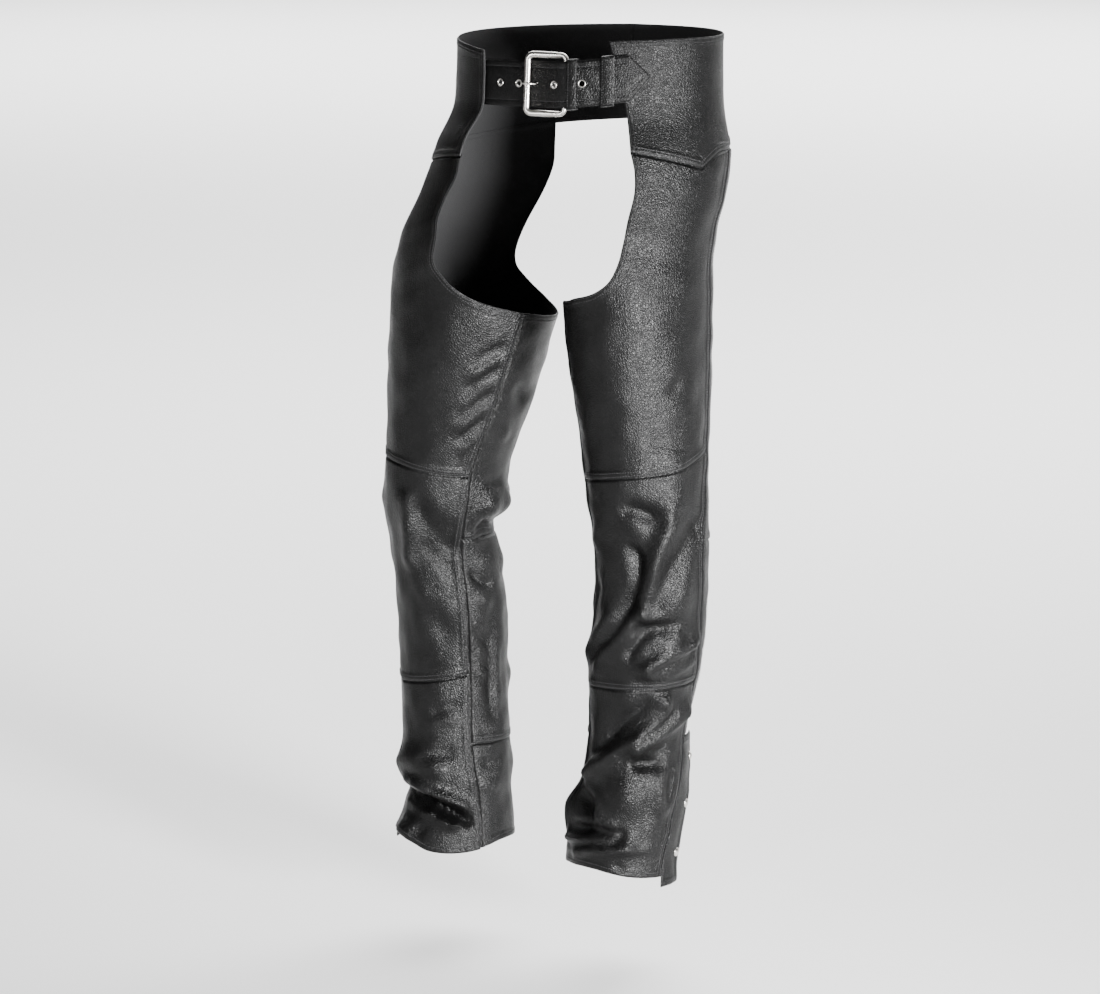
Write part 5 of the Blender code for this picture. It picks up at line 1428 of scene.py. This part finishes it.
def nickel_finish():
    """Satin nickel: brushed one way, with faint cloudy wear in its gloss."""
    material, tree, shader, where = new_finish("satin_nickel")
    cloud = noise(tree, where, Scale=120.0, Detail=4.0)["Fac"]
    tree.links.new(ranged(tree, cloud, 0.3, 0.7, 0.24, 0.36), shader["Roughness"])
    stretched = node_of(tree, "ShaderNodeMapping", Scale=(900.0, 900.0, 5200.0))
    tree.links.new(where, stretched.inputs["Vector"])
    brushed = noise(tree, stretched.outputs[0], Scale=1.0, Detail=2.0)["Fac"]
    bumped(tree, brushed, 0.00002, shader["Normal"], 0.15)
    shader["Base Color"].default_value = (0.60, 0.58, 0.55, 1)
    shader["Metallic"].default_value = 1.0
    return material


LEATHER, THREAD, NICKEL = leather_finish("black_leather"), thread_finish(), nickel_finish()
for pieces, material, slot in (
    (PIECES, LEATHER, "black_leather"),
    (STITCHES, THREAD, "black_leather"),
    (METAL, NICKEL, "satin_nickel"),
):
    for piece in pieces:
        piece.data.materials.clear()
        piece.data.materials.append(material)
        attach(piece, "root")
print("finishes:", LEATHER.name, THREAD.name, NICKEL.name)

# %% [markdown]
# Each panel is flat leather before it is sewn, so its flat size is worked out. The widths and
# lengths are measured along the panel, and the area is what a cutter would cut: it counts the
# 3 mm that pass under a neighbour, and no turnings.

# %% Flat sizes
HANGS_FROM = {
    "thigh_front": "yoke",
    "thigh_back": "yoke",
    "shin_front": "thigh_front",
    "cuff_front": "shin_front",
    "back_middle": "thigh_back",
    "back_lower": "back_middle",
    "side_strip": "thigh_back",
    "snap_flap": "back_lower",
}
for name, (wide, long, area) in FLAT.items():
    part, side = name.replace("_leather", "").rsplit("_", 1)
    above = f"{HANGS_FROM[part]}_{side}_leather" if part in HANGS_FROM else belt.name
for piece, wide, held in (
    (belt, BELT_WIDTH, "stretched"),
    (buckle_strap, BELT_WIDTH - 2 * NARROWER, "folded"),
):
    area = sum(p.area for p in piece.data.polygons) / 2
print("declared sheets:", len(FLAT) + 2)

# %% [markdown]
# ## Stage
# A pale floor that runs out of sight under two wide lights, and a dim sky. Black leather shows
# its form only by what it reflects, so a level light stands on the camera's right and a weaker
# one on its left.

# %% Floor, lights and camera
FLOOR_HEIGHT, FLOOR_SIZE, FLOOR_TONE, SKY_STRENGTH = -1.005, 90, (0.90, 0.90, 0.90, 1), 0.09
bpy.ops.mesh.primitive_plane_add(size=FLOOR_SIZE, location=(0, 0, FLOOR_HEIGHT))
floor = bpy.context.object
floor.name = "floor"
plain, _, shader, _ = new_finish("floor")
shader["Base Color"].default_value = FLOOR_TONE
shader["Roughness"].default_value = 0.9
floor.data.materials.append(plain)

world = bpy.data.worlds.new("studio")
bpy.context.scene.world = world
world.use_nodes = True
background = world.node_tree.nodes["Background"].inputs
background["Color"].default_value = (1, 1, 1, 1)
background["Strength"].default_value = SKY_STRENGTH

for name, place, size, power, target, spread in (
    ("key", (2.45, -1.60, -0.30), (0.6, 0.8), 50, (0.06, 0, -0.50), 50),
    ("fill", (-1.10, -3.40, 0.00), (0.7, 0.9), 5.5, (-0.10, 0, -0.40), 60),
    ("overhead", (-0.8, 3.6, 3.4), (5.0, 4.0), 600, (-0.8, 3.6, -1.0), 180),
    ("far", (-3.0, 16.0, 6.0), (24.0, 14.0), 7000, (-3.0, 16.0, -1.0), 180),
):
    light = bpy.data.lights.new(name, "AREA")
    light.shape = "RECTANGLE"
    light.size, light.size_y = size
    light.energy, light.spread = power, math.radians(spread)
    lamp = placed(name, light)
    lamp.location = place
    lamp.rotation_euler = (Vector(place) - Vector(target)).to_track_quat("Z", "Y").to_euler()

camera = bpy.data.cameras.new("camera")
camera.lens, camera.sensor_width, camera.clip_end = 130.909, 36, 200
eye = placed("camera", camera)
eye.location = (1.9018, -4.0784, 0.30)
eye.rotation_euler = (math.radians(80.1775), 0, math.radians(25.557))
bpy.context.scene.camera = eye
print("camera at", tuple(eye.location))
